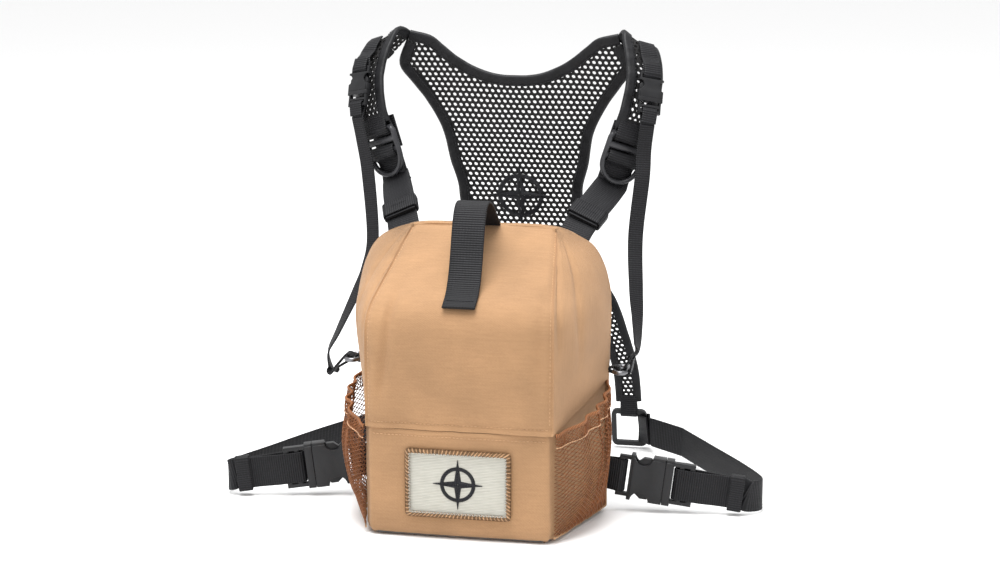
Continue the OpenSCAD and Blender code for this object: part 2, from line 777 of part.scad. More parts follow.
// The left tether hangs in a wide loop; the right one hangs nearly straight
tether_routes = [
    [tether_start + [-4, 2, -20], [107, back_y + 47, 250], [102, back_y + 41, 200], [105, back_y + 33, 176],
        [111, back_y + 25, 159], [124, back_y + 15, 128], [130, back_y + 8, 112], [125, back_y + 1, 99]],
    [tether_start + [-3, 2, -20], [112, back_y + 47, 252], [108, back_y + 43, 207], [111, back_y + 29, 168],
        [114, back_y + 17, 148], [116, back_y + 3, 128]]];
tether_turns = [
    [[0.9, 0.4, 0], [0.95, 0.3, 0], [0.9, 0.4, 0], [0.85, 0.5, 0], [0.75, 0.65, 0], [0.5, 0.85, 0],
        [0.25, 0.95, 0], [0.1, 1, 0]],
    [[0.9, 0.4, 0], [0.95, 0.3, 0], [0.9, 0.4, 0], [0.8, 0.6, 0], [0.5, 0.85, 0], [0.15, 1, 0]]];

module tether_webbing(s) {
    which = s < 0 ? 0 : 1;
    outer_bar = clip + [clip_d, 0, 0];
    route = tether_routes[which];
    upper = turned(hook(tether_top, tether_down, -tether_out, tether_r, tether_leg));
    reach = cross_part(route[len(route) - 1] - outer_bar, [0, 1, 0]);
    lower = hook(outer_bar, reach, [0, 0, 1], clip_wire + web_t/2 + gap, clip_leg);
    path = concat(upper, smooth(concat([upper[len(upper) - 1]], route, [lower[0]]), 4), lower);
    dirs = concat([for (p = upper) across(tether_frame)],
        smooth(concat([across(tether_frame)], tether_turns[which], [[0, 1, 0]]), 4),
        [for (p = lower) [0, 1, 0]]);
    trimmed = [for (i = [0:len(path) - 1]) if (i == 0 || norm(path[i] - path[i - 1]) > shortest) i];
    color(black) side(s)
        strap([for (i = trimmed) path[i]], [for (i = trimmed) dirs[i]], tether_w - tether_play, web_t);
}

// ---- side rings ---------------------------------------------------------------------------
// A round-wire ring: two straight bars along y, joined by half circles
module side_ring(s) {
    color("#3a3a3e") side(s) translate(clip) {
        for (x = [0, clip_d]) translate([x, 0, 0]) rotate([90, 0, 0])
            cylinder(r = clip_wire, h = tether_w, center = true);
        for (y = [-1, 1]) translate([clip_d/2, y*tether_w/2, 0]) rotate([0, 0, y > 0 ? 0 : 180])
            rotate_extrude(angle = 180) translate([clip_d/2, 0]) circle(clip_wire);
    }
}

module ring_tab(s) {
    reach = clip[0] - back_w/2;
    color(black) side(s) difference() {
        multmatrix(frame_at(clip, [-1, 0, 0], [0, 1, 0])) bar_loop(clip_wire + gap, tab_w, reach);
        panel_body();
    }
}

pack_shell();
back_panel();
inner_liner();
base_board();
back_magnets();
patch_field();
patch_border();
patch_emblem();
pocket_net(-1);  // pocket_net_left
pocket_net(1);  // pocket_net_right
pocket_hem(-1);  // pocket_hem_left
pocket_hem(1);  // pocket_hem_right
lid_shell();
lid_pull();
lid_magnets();
yoke_mesh();
yoke_binding();
yoke_emblem();
shoulder_strap(-1);  // shoulder_strap_left
shoulder_strap(1);  // shoulder_strap_right
yoke_leg(-1);  // yoke_leg_left
yoke_leg(1);  // yoke_leg_right
ladder_lock(-1);  // ladder_lock_left
ladder_lock(1);  // ladder_lock_right
top_webbing(-1);  // top_webbing_left
top_webbing(1);  // top_webbing_right
top_keeper(-1);  // top_keeper_left
top_keeper(1);  // top_keeper_right
tether_stub(-1);  // tether_stub_left
tether_stub(1);  // tether_stub_right
tether_socket(-1);  // tether_socket_left
tether_socket(1);  // tether_socket_right
tether_plug(-1);  // tether_plug_left
tether_plug(1);  // tether_plug_right
tether_inner_prong(-1);  // tether_inner_prong_left
tether_inner_prong(1);  // tether_inner_prong_right
tether_outer_prong(-1);  // tether_outer_prong_left
tether_outer_prong(1);  // tether_outer_prong_right
tether_webbing(-1);  // tether_webbing_left
tether_webbing(1);  // tether_webbing_right
side_ring(-1);  // side_ring_left
side_ring(1);  // side_ring_right
ring_tab(-1);  // ring_tab_left
ring_tab(1);  // ring_tab_right
leg_ring(-1);  // leg_ring_left
leg_ring(1);  // leg_ring_right
waist_webbing(-1);  // waist_webbing_left
waist_webbing(1);  // waist_webbing_right
waist_keeper(-1);  // waist_keeper_left
waist_keeper(1);  // waist_keeper_right
pack_tab(-1);  // pack_tab_left
pack_tab(1);  // pack_tab_right
waist_socket(-1);  // waist_socket_left
waist_socket(1);  // waist_socket_right
waist_plug(-1);  // waist_plug_left
waist_plug(1);  // waist_plug_right
upper_prong(-1);  // upper_prong_left
upper_prong(1);  // upper_prong_right
lower_prong(-1);  // lower_prong_left
lower_prong(1);  // lower_prong_right
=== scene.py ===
"""Looks of the binocular harness pack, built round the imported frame. Metres; lengths below are in mm."""
from math import atan2, copysign, cos, exp, hypot, pi, radians, sin, sqrt
import json
import random
import bmesh
import bpy
import numpy as np
from mathutils import Matrix, Vector, noise

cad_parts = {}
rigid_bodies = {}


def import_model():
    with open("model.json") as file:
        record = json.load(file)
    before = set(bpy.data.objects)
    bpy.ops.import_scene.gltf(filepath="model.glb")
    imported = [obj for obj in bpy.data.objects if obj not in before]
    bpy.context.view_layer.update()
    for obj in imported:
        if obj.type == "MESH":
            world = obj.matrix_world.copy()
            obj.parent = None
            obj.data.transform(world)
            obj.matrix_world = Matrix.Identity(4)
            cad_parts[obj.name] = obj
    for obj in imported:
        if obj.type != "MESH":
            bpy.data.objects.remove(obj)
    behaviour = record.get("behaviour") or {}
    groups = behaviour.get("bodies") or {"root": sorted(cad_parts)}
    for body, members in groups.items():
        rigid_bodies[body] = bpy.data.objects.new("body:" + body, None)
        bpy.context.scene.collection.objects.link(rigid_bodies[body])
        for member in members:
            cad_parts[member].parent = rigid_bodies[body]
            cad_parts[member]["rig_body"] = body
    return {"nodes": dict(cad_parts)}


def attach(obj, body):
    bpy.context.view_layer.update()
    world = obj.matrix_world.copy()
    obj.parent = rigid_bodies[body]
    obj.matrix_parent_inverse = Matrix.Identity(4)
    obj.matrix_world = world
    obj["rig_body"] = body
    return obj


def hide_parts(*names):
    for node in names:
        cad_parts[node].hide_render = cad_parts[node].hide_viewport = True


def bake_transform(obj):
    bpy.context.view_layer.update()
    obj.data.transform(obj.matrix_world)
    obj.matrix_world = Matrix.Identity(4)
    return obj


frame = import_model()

MM = 0.001
scene = bpy.context.scene
SIDES = {"left": -1, "right": 1}
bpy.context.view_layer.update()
random.seed(7)

# ---- camera
camera = bpy.data.objects.new("camera", bpy.data.cameras.new("camera"))
scene.collection.objects.link(camera)
camera.location = (0.3621, -1.6023, 0.5120)
camera.rotation_euler = (radians(78.5), 0, radians(12))
camera.data.lens = 81
camera.data.sensor_width = 36
scene.camera = camera


# ---- vectors and paths
def vec(*p):
    return np.array(p, float)


def unit(v):
    v = np.asarray(v, float)
    return v / max(np.linalg.norm(v), 1e-9)


def cross_part(v, along):
    v = np.asarray(v, float)
    return unit(v - np.dot(v, along) * along)


def frame_at(p, along, across):
    """A placing matrix at p: z along, x across."""
    z = unit(along)
    x = cross_part(across, z)
    m = np.eye(4)
    m[:3, 0], m[:3, 1], m[:3, 2], m[:3, 3] = x, np.cross(z, x), z, p
    return m


def placed(f, p):
    return (f @ np.array([p[0], p[1], p[2], 1.0]))[:3]


def smooth(points, n):
    """A curve through the points, with n steps between each two."""
    p = [np.asarray(q, float) for q in points]
    last = len(p) - 1
    out = []
    for i in range(last):
        a, b, c, d = p[max(i - 1, 0)], p[i], p[i + 1], p[min(i + 2, last)]
        for k in range(n):
            t = k / n
            out.append(0.5 * (2 * b + (c - a) * t + (2 * a - 5 * b + 4 * c - d) * t * t
                              + (3 * b - a - 3 * c + d) * t * t * t))
    out.append(p[last])
    return np.array(out)


def arc(r, start, end, n):
    turn = [radians(start + (end - start) * k / n) for k in range(n + 1)]
    return [(r * cos(a), r * sin(a)) for a in turn]


def hook(c, along, out, r, leg, t=1.6, n=14):
    """A strap's end: down to a bar at c, round it and back to a sewn tail."""
    a = unit(along)
    o = cross_part(out, a)
    return np.array([c + a * leg + o * (t / 2 + 0.15)]
                    + [c - a * q[0] + o * q[1] for q in arc(r, 90, -90, n)]
                    + [c + a * leg * 0.9 - o * (t / 2 + 0.15)])


def headings(p):
    p = np.asarray(p, float)
    h = np.empty_like(p)
    h[1:-1] = p[2:] - p[:-2]
    h[0], h[-1] = p[1] - p[0], p[-1] - p[-2]
    return h / np.linalg.norm(h, axis=1)[:, None]


def lengths(p):
    """How far along a line each of its points lies."""
    return np.concatenate([[0], np.cumsum(np.linalg.norm(np.diff(p, axis=0), axis=1))])


def on_line(at, along, line):
    """The point of a line at a distance along it."""
    return np.array([np.interp(at, along, line[:, k]) for k in range(line.shape[1])])


def each(d, n):
    """A direction for every point: d is one for all, or already one for each."""
    return np.broadcast_to(d, (n, 3)) if np.ndim(d) == 1 else d


def tube(n, m, base=0, caps=True):
    """Faces round n rings of m points, with the two ends closed."""
    faces = [(base + i * m + k, base + i * m + (k + 1) % m, base + (i + 1) * m + (k + 1) % m,
              base + (i + 1) * m + k) for i in range(n - 1) for k in range(m)]
    if caps:
        faces += [tuple(base + k for k in range(m))[::-1], tuple(base + (n - 1) * m + k for k in range(m))]
    return faces


def rectangle(w, h, r, n):
    """A rounded rectangle of half sizes w and h, with n steps in each corner."""
    return [(cx * (w - r) + r * cos(a), cy * (h - r) + r * sin(a))
            for cx, cy, start in ((1, -1, -90), (1, 1, 0), (-1, 1, 90), (-1, -1, 180))
            for a in [radians(start + 90 / n * k) for k in range(n + 1)]]


def mirror(p, s):
    q = np.array(p, float)
    q[..., 0] *= s
    return q


def wobble(p, scale, seed=0.0):
    """Smooth noise from -1 to 1 at a point in mm, with features about scale mm across."""
    return noise.noise(Vector((p[0] / scale + seed, p[1] / scale - seed, p[2] / scale + 3 * seed)))


# ---- making pieces
def tidy_mesh(mesh, merge=0.0, dissolve=False, normals=True):
    """Merges points closer than merge (in metres), joins flat faces and turns every face outwards."""
    bm = bmesh.new()
    bm.from_mesh(mesh)
    if merge:
        bmesh.ops.remove_doubles(bm, verts=bm.verts, dist=merge)
    if dissolve:
        bmesh.ops.dissolve_limit(bm, angle_limit=radians(2), verts=bm.verts, edges=bm.edges)
    if normals:
        bmesh.ops.recalc_face_normals(bm, faces=bm.faces)
    bm.to_mesh(mesh)
    bm.free()


def soften(mesh, sharp):
    """Smooth shading, with edges sharper than an angle in degrees left hard."""
    mesh.polygons.foreach_set("use_smooth", [True] * len(mesh.polygons))
    if sharp:
        mesh.set_sharp_from_angle(angle=radians(sharp))


def make(name, verts, faces, material, uvs=None, sharp=40.0):
    """A mesh object from mm points. uvs gives one (u, v) in mm for each vertex, or for each face corner."""
    mesh = bpy.data.meshes.new(name)
    mesh.from_pydata((np.asarray(verts, float) * MM).tolist(), [], [list(f) for f in faces])
    if uvs is not None:
        layer = mesh.uv_layers.new(name="UVMap")
        uvs = np.asarray(uvs, float)
        index = np.empty(len(mesh.loops), int)
        mesh.loops.foreach_get("vertex_index", index)
        flat = uvs[index] if len(uvs) == len(mesh.vertices) else uvs
        layer.data.foreach_set("uv", flat.ravel().astype(np.float32))
    mesh.validate()
    tidy_mesh(mesh)
    soften(mesh, sharp)
    obj = bpy.data.objects.new(name, mesh)
    scene.collection.objects.link(obj)
    mesh.materials.append(material)
    return obj


def settle(obj, *modifiers, sharp=None):
    """Applies modifiers given as (type, settings) to the object's mesh."""
    for kind, values in modifiers:
        m = obj.modifiers.new(kind.lower(), kind)
        for key, value in values.items():
            setattr(m, key, value)
    bpy.context.view_layer.update()
    graph = bpy.context.evaluated_depsgraph_get()
    mesh = bpy.data.meshes.new_from_object(obj.evaluated_get(graph))
    obj.modifiers.clear()
    obj.data = mesh
    soften(mesh, sharp)
    return obj


def thicken(piece, thickness, offset=0.0):
    return settle(piece, ("SOLIDIFY", dict(thickness=thickness * MM, offset=offset)), sharp=60)


def join(name, pieces):
    """Several mesh objects as one."""
    first = pieces[0]
    with bpy.context.temp_override(active_object=first, selected_editable_objects=pieces):
        bpy.ops.object.join()
    first.name = name
    first.data.name = name
    return first


def finish_piece(obj, body, slot, *nodes):
    """Says which body a piece rides on and hides the CAD nodes it stands for; slot, its finish, is not used."""
    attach(obj, body)
    if nodes:
        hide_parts(*nodes)
    return obj


def section(w, t, n=5):
    """A flat strap's cross-section with soft edges, as (across, out)."""
    r = t / 2
    right = [(w / 2 - r + r * cos(a), r * sin(a))
             for a in [radians(-90 + 180 * k / n) for k in range(n + 1)]]
    body = [(w / 2 - r) * f for f in (0.6, 0.2, -0.2, -0.6)]
    return (right + [(x, r) for x in body] + [(-x, -y) for x, y in right]
            + [(-x, -r) for x in body])


def ribbon_points(path, dirs, profile, s=1):
    h = headings(path)
    rings = []
    for i, p in enumerate(path):
        w = cross_part(dirs[i], h[i])
        out = np.cross(w, h[i])
        rings.append([p + w * a + out * b for a, b in profile])
    return mirror(np.array(rings), s)


def ribbon(name, path, dirs, w, t, material, s=1, ruck=0.0, pitch=12.0):
    """A flat strap swept along a path, with soft edges, end caps and a (u, v) in mm."""
    path = np.asarray(path, float)
    dirs = each(dirs, len(path))
    profile = section(w, t)
    rings = ribbon_points(path, dirs, profile, s)
    along = lengths(path)
    if ruck:
        h = headings(path)
        for i in range(len(path)):
            out = np.cross(cross_part(dirs[i], h[i]), h[i])
            push = ruck * noise.noise(Vector((along[i] / pitch, w, 0.3 * s)))
            rings[i] += mirror(out * push, s)
    n, m = rings.shape[:2]
    uvs = [(profile[k][0], along[i]) for i in range(n) for k in range(m)]
    return make(name, rings.reshape(-1, 3), tube(n, m), material, uvs, sharp=50)


def grid(name, f, nu, nv, material, size):
    """A sheet from f(u, v) in mm, u and v from 0 to 1, with (u, v) scaled to its size in mm."""
    pts = [f(i / nu, k / nv) for i in range(nu + 1) for k in range(nv + 1)]
    uvs = [(i / nu * size[0], k / nv * size[1]) for i in range(nu + 1) for k in range(nv + 1)]
    row = nv + 1
    faces = [(i * row + k, (i + 1) * row + k, (i + 1) * row + k + 1, i * row + k + 1)
             for i in range(nu) for k in range(nv)]
    return make(name, pts, faces, material, uvs, sharp=60)


def threads(name, points, outs, length, r, material):
    """Stitches lying along a line: short rounded threads, one between each pair of points."""
    verts, faces = [], []
    outs = each(outs, len(points))
    for i in range(len(points) - 1):
        a, b = np.asarray(points[i], float), np.asarray(points[i + 1], float)
        along = unit(b - a)
        mid = (a + b) / 2
        o = cross_part(outs[i], along)
        side = np.cross(along, o)
        base = len(verts)
        for q, share in ((-0.5, 0.25), (-0.38, 0.85), (0, 1.15), (0.38, 0.85), (0.5, 0.25)):
            for k in range(6):
                turn = radians(60 * k)
                verts.append(mid + along * q * length
                             + (o * (sin(turn) + 0.15) + side * cos(turn)) * r * share)
        faces += tube(5, 6, base)
    return make(name, verts, faces, material, [(v[0] + v[1], v[2]) for v in verts])


def spaced(points, pitch):
    """Points at an even pitch along a line."""
    p = np.asarray(points, float)
    along = lengths(p)
    n = max(2, int(along[-1] / pitch) + 1)
    at = np.linspace(0, along[-1], n)
    return np.stack([np.interp(at, along, p[:, k]) for k in range(3)], axis=1)


def holed(name, cells, place, thick, hole, pitch, material):
    """Spacer mesh with real round holes: hexagonal cells at (s, t), put in space by place(s, t, out)."""
    verts, faces, uvs, index = [], [], [], {}
    rim = pitch / sqrt(3)

    def vert(s, t, out):
        key = (round(s, 2), round(t, 2), out)
        if key not in index:
            index[key] = len(verts)
            verts.append(place(s, t, out))
            uvs.append((s, t))
        return index[key]

    for s, t in cells:
        outer, inner = [], []
        for k in range(12):
            a = radians(30 * k + 30)
            reach = rim if k % 2 == 0 else rim * cos(radians(30))
            outer.append((s + reach * cos(a), t + reach * sin(a)))
            inner.append((s + hole * cos(a), t + hole * sin(a)))
        for side in (1, -1):
            o = [vert(*q, side * thick / 2) for q in outer]
            n = [vert(*q, side * thick / 2) for q in inner]
            faces += [(o[k], o[(k + 1) % 12], n[(k + 1) % 12], n[k]) for k in range(12)]
        top = [vert(*q, thick / 2) for q in inner]
        low = [vert(*q, -thick / 2) for q in inner]
        faces += [(top[k], top[(k + 1) % 12], low[(k + 1) % 12], low[k]) for k in range(12)]
    return make(name, verts, faces, material, uvs, sharp=50)


def hex_cells(s_range, t_range, pitch, inside):
    """Middles of the hexagons of a honeycomb that lie inside a shape."""
    row = pitch * sqrt(3) / 2
    found = []
    for j in range(int((t_range[1] - t_range[0]) / row) + 1):
        t = t_range[0] + j * row
        for i in range(int((s_range[1] - s_range[0]) / pitch) + 2):
            s = s_range[0] + (i + (j % 2) / 2) * pitch
            if inside(s, t):
                found.append((s, t))
    return found


def rounded(node, width, material, segments=2, sharp=35.0, extra=()):
    """A hard piece from its CAD node, with moulded edges."""
    source = frame["nodes"][node]
    obj = bpy.data.objects.new(node + "_moulded", source.data.copy())
    scene.collection.objects.link(obj)
    tidy_mesh(obj.data, 1e-5, dissolve=True, normals=False)
    obj.data.materials.clear()
    obj.data.materials.append(material)
    settle(obj, ("BEVEL", dict(width=width * MM, segments=segments, limit_method="ANGLE",
                               angle_limit=radians(28), use_clamp_overlap=True)), sharp=sharp)
    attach(obj, source["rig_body"])
    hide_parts(node, *extra)
    return obj


# ---- materials
class Mat:
    """A node material under construction: n() adds a node, with links given as (node, output)."""

    def __init__(self, name, color, roughness, sheen=0.0, metallic=0.0, specular=0.5):
        self.mat = bpy.data.materials.new(name)
        self.mat.use_nodes = True
        self.tree = self.mat.node_tree
        self.shader = self.tree.nodes["Principled BSDF"]
        self.color = (*color, 1)
        for key, value in (("Base Color", self.color), ("Roughness", roughness), ("Metallic", metallic),
                           ("Sheen Weight", sheen), ("Specular IOR Level", specular)):
            self.shader.inputs[key].default_value = value
        coords = self.n("TexCoord")
        self.uv = self.n("Mapping", Vector=(coords, "UV"), Scale=(1, 1, 1))
        self.space = self.n("Mapping", Vector=(coords, "Object"), Scale=(1000, 1000, 1000))

    def n(self, kind, props=None, **inputs):
        node = self.tree.nodes.new("ShaderNode" + kind)
        for key, value in (props or {}).items():
            setattr(node, key, value)
        for key, value in inputs.items():
            socket = node.inputs[int(key[1:])] if key[0] == "_" else node.inputs[key.replace("_", " ")]
            self.set(socket, value)
        return node

    def set(self, socket, value):
        if isinstance(value, tuple) and isinstance(value[0], bpy.types.Node):
            self.tree.links.new(value[0].outputs[value[1]], socket)
        elif isinstance(value, bpy.types.Node):
            self.tree.links.new(value.outputs[0], socket)
        else:
            socket.default_value = value

    def math(self, op, a, b=0.0):
        return self.n("Math", {"operation": op}, _0=a, _1=b)

    def level(self, value, share, rest):
        """share of a value, plus the rest."""
        return self.math("ADD", self.math("MULTIPLY", value, share), rest)

    def band(self, where, period, direction="X", shift=0.0, profile="SIN"):
        """Stripes with a period in mm."""
        scale = (0.6283 if direction == "DIAGONAL" else 0.31416) / period
        return self.n("TexWave", {"bands_direction": direction, "wave_profile": profile}, Vector=where,
                      Scale=scale, Distortion=shift, Detail=0.0)

    def noise(self, where, size, detail=3.0):
        return self.n("TexNoise", Vector=where, Scale=1 / size, Detail=detail)

    def ramp(self, value, low, high, start=0.3, end=0.7):
        node = self.n("ValToRGB", Fac=value)
        node.color_ramp.elements[0].position, node.color_ramp.elements[1].position = start, end
        node.color_ramp.elements[0].color, node.color_ramp.elements[1].color = (*low, 1), (*high, 1)
        return node

    def tint(self, a, b, share):
        """Colour a multiplied by b, by a share."""
        return self.n("MixRGB", {"blend_type": "MULTIPLY"}, Fac=share, Color1=a, Color2=b)

    def finish(self, color=None, rough=None, *bumps):
        """bumps are (height, depth in mm)."""
        if color is not None:
            self.set(self.shader.inputs["Base Color"], color)
        if rough is not None:
            self.set(self.shader.inputs["Roughness"], rough)
        normal = None
        for height, depth in bumps:
            bump = self.n("Bump", Height=height, Distance=depth * MM, Strength=1.0)
            if normal is not None:
                self.set(bump.inputs["Normal"], (normal, "Normal"))
            normal = bump
        if normal is not None:
            self.set(self.shader.inputs["Normal"], (normal, "Normal"))
        return self.mat


def shade(color, f):
    return tuple(min(1.0, c * f) for c in color)


def canvas_material(name, color, where="uv"):
    m = Mat(name, color, 0.82, sheen=0.08, specular=0.3)
    at = m.uv if where == "uv" else m.space
    twill = m.band(at, 1.15, "DIAGONAL")
    weft = m.band(at, 0.62, "Y")
    slub = m.noise(m.n("Mapping", Vector=at, Scale=(0.2, 1.6, 1)), 3.0)
    blotch = m.noise(m.space, 42.0, 4.0)
    fine = m.noise(m.space, 1.2, 2.0)
    base = m.ramp(blotch, shade(color, 0.90), shade(color, 1.09), 0.35, 0.68)
    threads_color = m.ramp(m.level(twill, 0.55, m.math("MULTIPLY", slub, 0.45)),
                           (0.74, 0.71, 0.67), (1.12, 1.11, 1.10), 0.2, 0.8)
    color_out = m.tint(base, threads_color, 0.8)
    speck = m.ramp(fine, (0.93, 0.92, 0.91), (1.05, 1.05, 1.05), 0.35, 0.65)
    color_out = m.tint(color_out, speck, 0.6)
    rough = m.level(fine, 0.14, 0.74)
    return m.finish(color_out, rough, (blotch, 0.5), (twill, 0.12), (weft, 0.05), (fine, 0.05))


def webbing_material(name, color, rib=1.75):
    m = Mat(name, color, 0.6, specular=0.22)
    ribs = m.band(m.uv, rib, "Y")
    warps = m.band(m.uv, 2.3, "X")
    edge = m.noise(m.space, 16.0, 2.0)
    fine = m.noise(m.space, 0.9, 2.0)
    weave = m.level(ribs, 0.7, m.math("MULTIPLY", m.math("MULTIPLY", warps, ribs), 0.3))
    tone = m.ramp(weave, shade(color, 0.45), shade(color, 1.7), 0.1, 0.95)
    worn = m.ramp(edge, (0.88, 0.88, 0.88), (1.15, 1.15, 1.16), 0.35, 0.7)
    rough = m.level(fine, 0.2, 0.48)
    return m.finish(m.tint(tone, worn, 0.8), rough, (weave, 0.35), (fine, 0.05))


def binding_material(name, color):
    m = Mat(name, color, 0.5, specular=0.25)
    ribs = m.band(m.uv, 0.9, "Y")
    warps = m.band(m.uv, 1.1, "X")
    folds = m.noise(m.n("Mapping", Vector=m.uv, Scale=(0.6, 1.0, 1)), 9.0, 3.0)
    fine = m.noise(m.space, 0.8, 2.0)
    weave = m.level(ribs, 0.6, m.math("MULTIPLY", warps, 0.4))
    # painted shade and highlight: colour darker in the fold hollows and lighter on the fold ridges of the same noise
    # that bumps them
    tone = m.ramp(folds, shade(color, 0.7), shade(color, 1.6), 0.35, 0.72)
    threads_color = m.ramp(weave, (0.8, 0.8, 0.8), (1.15, 1.15, 1.15), 0.1, 0.9)
    rough = m.level(folds, 0.25, 0.36)
    return m.finish(m.tint(tone, threads_color, 0.8), rough, (folds, 0.9), (weave, 0.12), (fine, 0.04))


def knit_material(name, color):
    m = Mat(name, color, 0.7, specular=0.25)
    knit = m.band(m.space, 0.8, "DIAGONAL")
    fine = m.noise(m.space, 0.7, 2.0)
    tone = m.ramp(m.noise(m.space, 20.0), shade(color, 0.75), shade(color, 1.4), 0.35, 0.7)
    threads_color = m.ramp(knit, (0.75, 0.75, 0.75), (1.2, 1.2, 1.2), 0.1, 0.9)
    rough = m.level(fine, 0.2, 0.6)
    return m.finish(m.tint(tone, threads_color, 0.7), rough, (knit, 0.12), (fine, 0.06))


def plastic_material(name, color, rough=0.42):
    m = Mat(name, color, rough, specular=0.35)
    grain = m.n("TexVoronoi", Vector=m.space, Scale=2.2)
    fine = m.noise(m.space, 0.5, 2.0)
    scuff = m.noise(m.space, 9.0, 5.0)
    tone = m.ramp(scuff, shade(color, 0.85), shade(color, 1.35), 0.4, 0.7)
    roughness = m.level(scuff, 0.22, rough - 0.1)
    return m.finish(tone, roughness, ((grain, "Distance"), 0.03), (fine, 0.02))


def thread_material(name, color, along="Y", twist=0.45):
    m = Mat(name, color, 0.5, specular=0.3)
    strand = m.band(m.space if along == "DIAGONAL" else m.uv, twist, along)
    drift = m.noise(m.space, 5.0, 3.0)
    tone = m.ramp(drift, shade(color, 0.75), shade(color, 1.3), 0.3, 0.7)
    lines = m.ramp(strand, (0.72, 0.72, 0.72), (1.18, 1.18, 1.18), 0.1, 0.9)
    rough = m.level(drift, 0.2, 0.35)
    return m.finish(m.tint(tone, lines, 0.8), rough, (strand, 0.12))


def patch_material(name, color):
    m = Mat(name, color, 0.7, sheen=0.2)
    rows = m.band(m.uv, 1.35, "Y")
    cols = m.band(m.uv, 0.9, "X")
    drift = m.noise(m.n("Mapping", Vector=m.uv, Scale=(0.25, 1.2, 1)), 2.2, 3.0)
    weave = m.level(rows, 0.7, m.math("MULTIPLY", cols, 0.3))
    tone = m.ramp(weave, shade(color, 0.74), shade(color, 1.06), 0.05, 0.8)
    vary = m.ramp(drift, (0.88, 0.87, 0.85), (1.06, 1.06, 1.06), 0.3, 0.7)
    rough = m.level(drift, 0.2, 0.6)
    return m.finish(m.tint(tone, vary, 0.8), rough, (weave, 0.25), (drift, 0.1))


def metal_material(name, color):
    m = Mat(name, color, 0.32, metallic=1.0)
    scuff = m.noise(m.space, 4.0, 5.0)
    tone = m.ramp(scuff, shade(color, 0.8), shade(color, 1.15), 0.35, 0.7)
    rough = m.level(scuff, 0.2, 0.22)
    return m.finish(tone, rough, (scuff, 0.03))


CANVAS = canvas_material("canvas_twill", (0.372, 0.217, 0.111))
CANVAS_SPACE = canvas_material("canvas_twill_flat", (0.372, 0.217, 0.111), "space")
NET = thread_material("net_cord", (0.26, 0.095, 0.033), "DIAGONAL", 0.6)
HEM = webbing_material("net_hem_band", (0.26, 0.105, 0.042), 1.3)
PEACH = thread_material("peach_thread", (0.72, 0.42, 0.24), "DIAGONAL")
TAN_THREAD = thread_material("tan_thread", (0.56, 0.34, 0.185), "DIAGONAL")
BLACK_THREAD = thread_material("black_thread", (0.013, 0.013, 0.015), "DIAGONAL")
WEBBING = webbing_material("ribbed_webbing", (0.0085, 0.0085, 0.010))
BINDING = binding_material("folded_binding", (0.0060, 0.0060, 0.0072))
MESH = knit_material("spacer_knit", (0.0100, 0.0095, 0.0098))
PAD = knit_material("back_pad_knit", (0.024, 0.021, 0.019))
PLASTIC = plastic_material("buckle_acetal", (0.0080, 0.0080, 0.0092))
PLASTIC_GREY = plastic_material("lock_acetal", (0.026, 0.026, 0.029), 0.36)
METAL = metal_material("ring_wire", (0.20, 0.20, 0.21))
MAGNET = metal_material("magnet_plate", (0.55, 0.55, 0.56))
PATCH = patch_material("patch_cloth", (0.49, 0.48, 0.425))
BROWN_THREAD = thread_material("overlock_thread", (0.17, 0.095, 0.045), "DIAGONAL", 0.7)
SATIN = thread_material("satin_stitch", (0.012, 0.012, 0.015), "DIAGONAL", 0.8)
LINING = knit_material("brushed_lining", (0.16, 0.115, 0.075))
BOARD = plastic_material("stiff_board", (0.05, 0.05, 0.05), 0.5)

# ---- sizes from part.scad
FRONT_Y, REAR_Y = -47.0, 47.0
FRONT_W, BACK_W, TOP_W = 140.0, 188.0, 112.0
PACK_H, SEAM_H, CREASE_H, RISE, DEPTH = 222.0, 83.0, 170.0, 22.0, 94.0
FOOT_Y, LEAN = 235.0, radians(13)
CANVAS_T, WEB_W, WEB_T = 1.5, 25, 1.6
SEAM_PITCH, SEAM_STITCH, TACK_STITCH = 2.9, (2.1, 0.17), (1.9, 0.32)     # stitches: length and radius


def yoke_point(x, v, out=0.0):
    """A place in the yoke's plane; out is towards the pack."""
    return vec(x, FOOT_Y - v * sin(LEAN) - out * cos(LEAN), v * cos(LEAN) - out * sin(LEAN))


YOKE_UP = yoke_point(0, 1) - yoke_point(0, 0)
YOKE_OUT = yoke_point(0, 0, 1) - yoke_point(0, 0)


def lid_edge(y):
    """Height of the lid's lower edge at a depth."""
    return SEAM_H + (y - FRONT_Y) * RISE / DEPTH


def ease(a, b, x):
    t = min(1.0, max(0.0, (x - a) / (b - a)))
    return t * t * (3 - 2 * t)


def fall(a, b, x):
    return 1 - ease(a, b, x)


def hill(x, width):
    return exp(-(x / width) ** 2)


# ---- canvas: lid
crease = vec(FRONT_Y, CREASE_H)
slope = unit(vec(REAR_Y - FRONT_Y, PACK_H - CREASE_H))
lid_line = [vec(FRONT_Y, SEAM_H - 0.1), vec(FRONT_Y, SEAM_H + 20), vec(FRONT_Y, 130)]
for k in range(9):
    t = k / 8
    lid_line.append((1 - t) ** 2 * (crease - vec(0, 17)) + 2 * t * (1 - t) * crease + t * t * (crease + slope * 19))
lid_line += [crease + slope * q for q in (30, 50, 70, 90, 104)] + [vec(REAR_Y - 0.5, PACK_H - 0.5)]
lid_line = np.array(lid_line)
lid_along = lengths(lid_line)
LID_L = lid_along[-1]


def lid_profile(v):
    """The lid's middle line (y, z) at a share of its length, with its outward direction."""
    at = v * LID_L
    p = on_line(at, lid_along, lid_line)
    q0, q1 = max(0, at - 3), min(LID_L, at + 3)
    d = unit(on_line(q1, lid_along, lid_line) - on_line(q0, lid_along, lid_line))
    return p, vec(-d[1], d[0])


def lid_half(y):
    return FRONT_W / 2 + (TOP_W - FRONT_W) / 2 * (y - FRONT_Y) / DEPTH


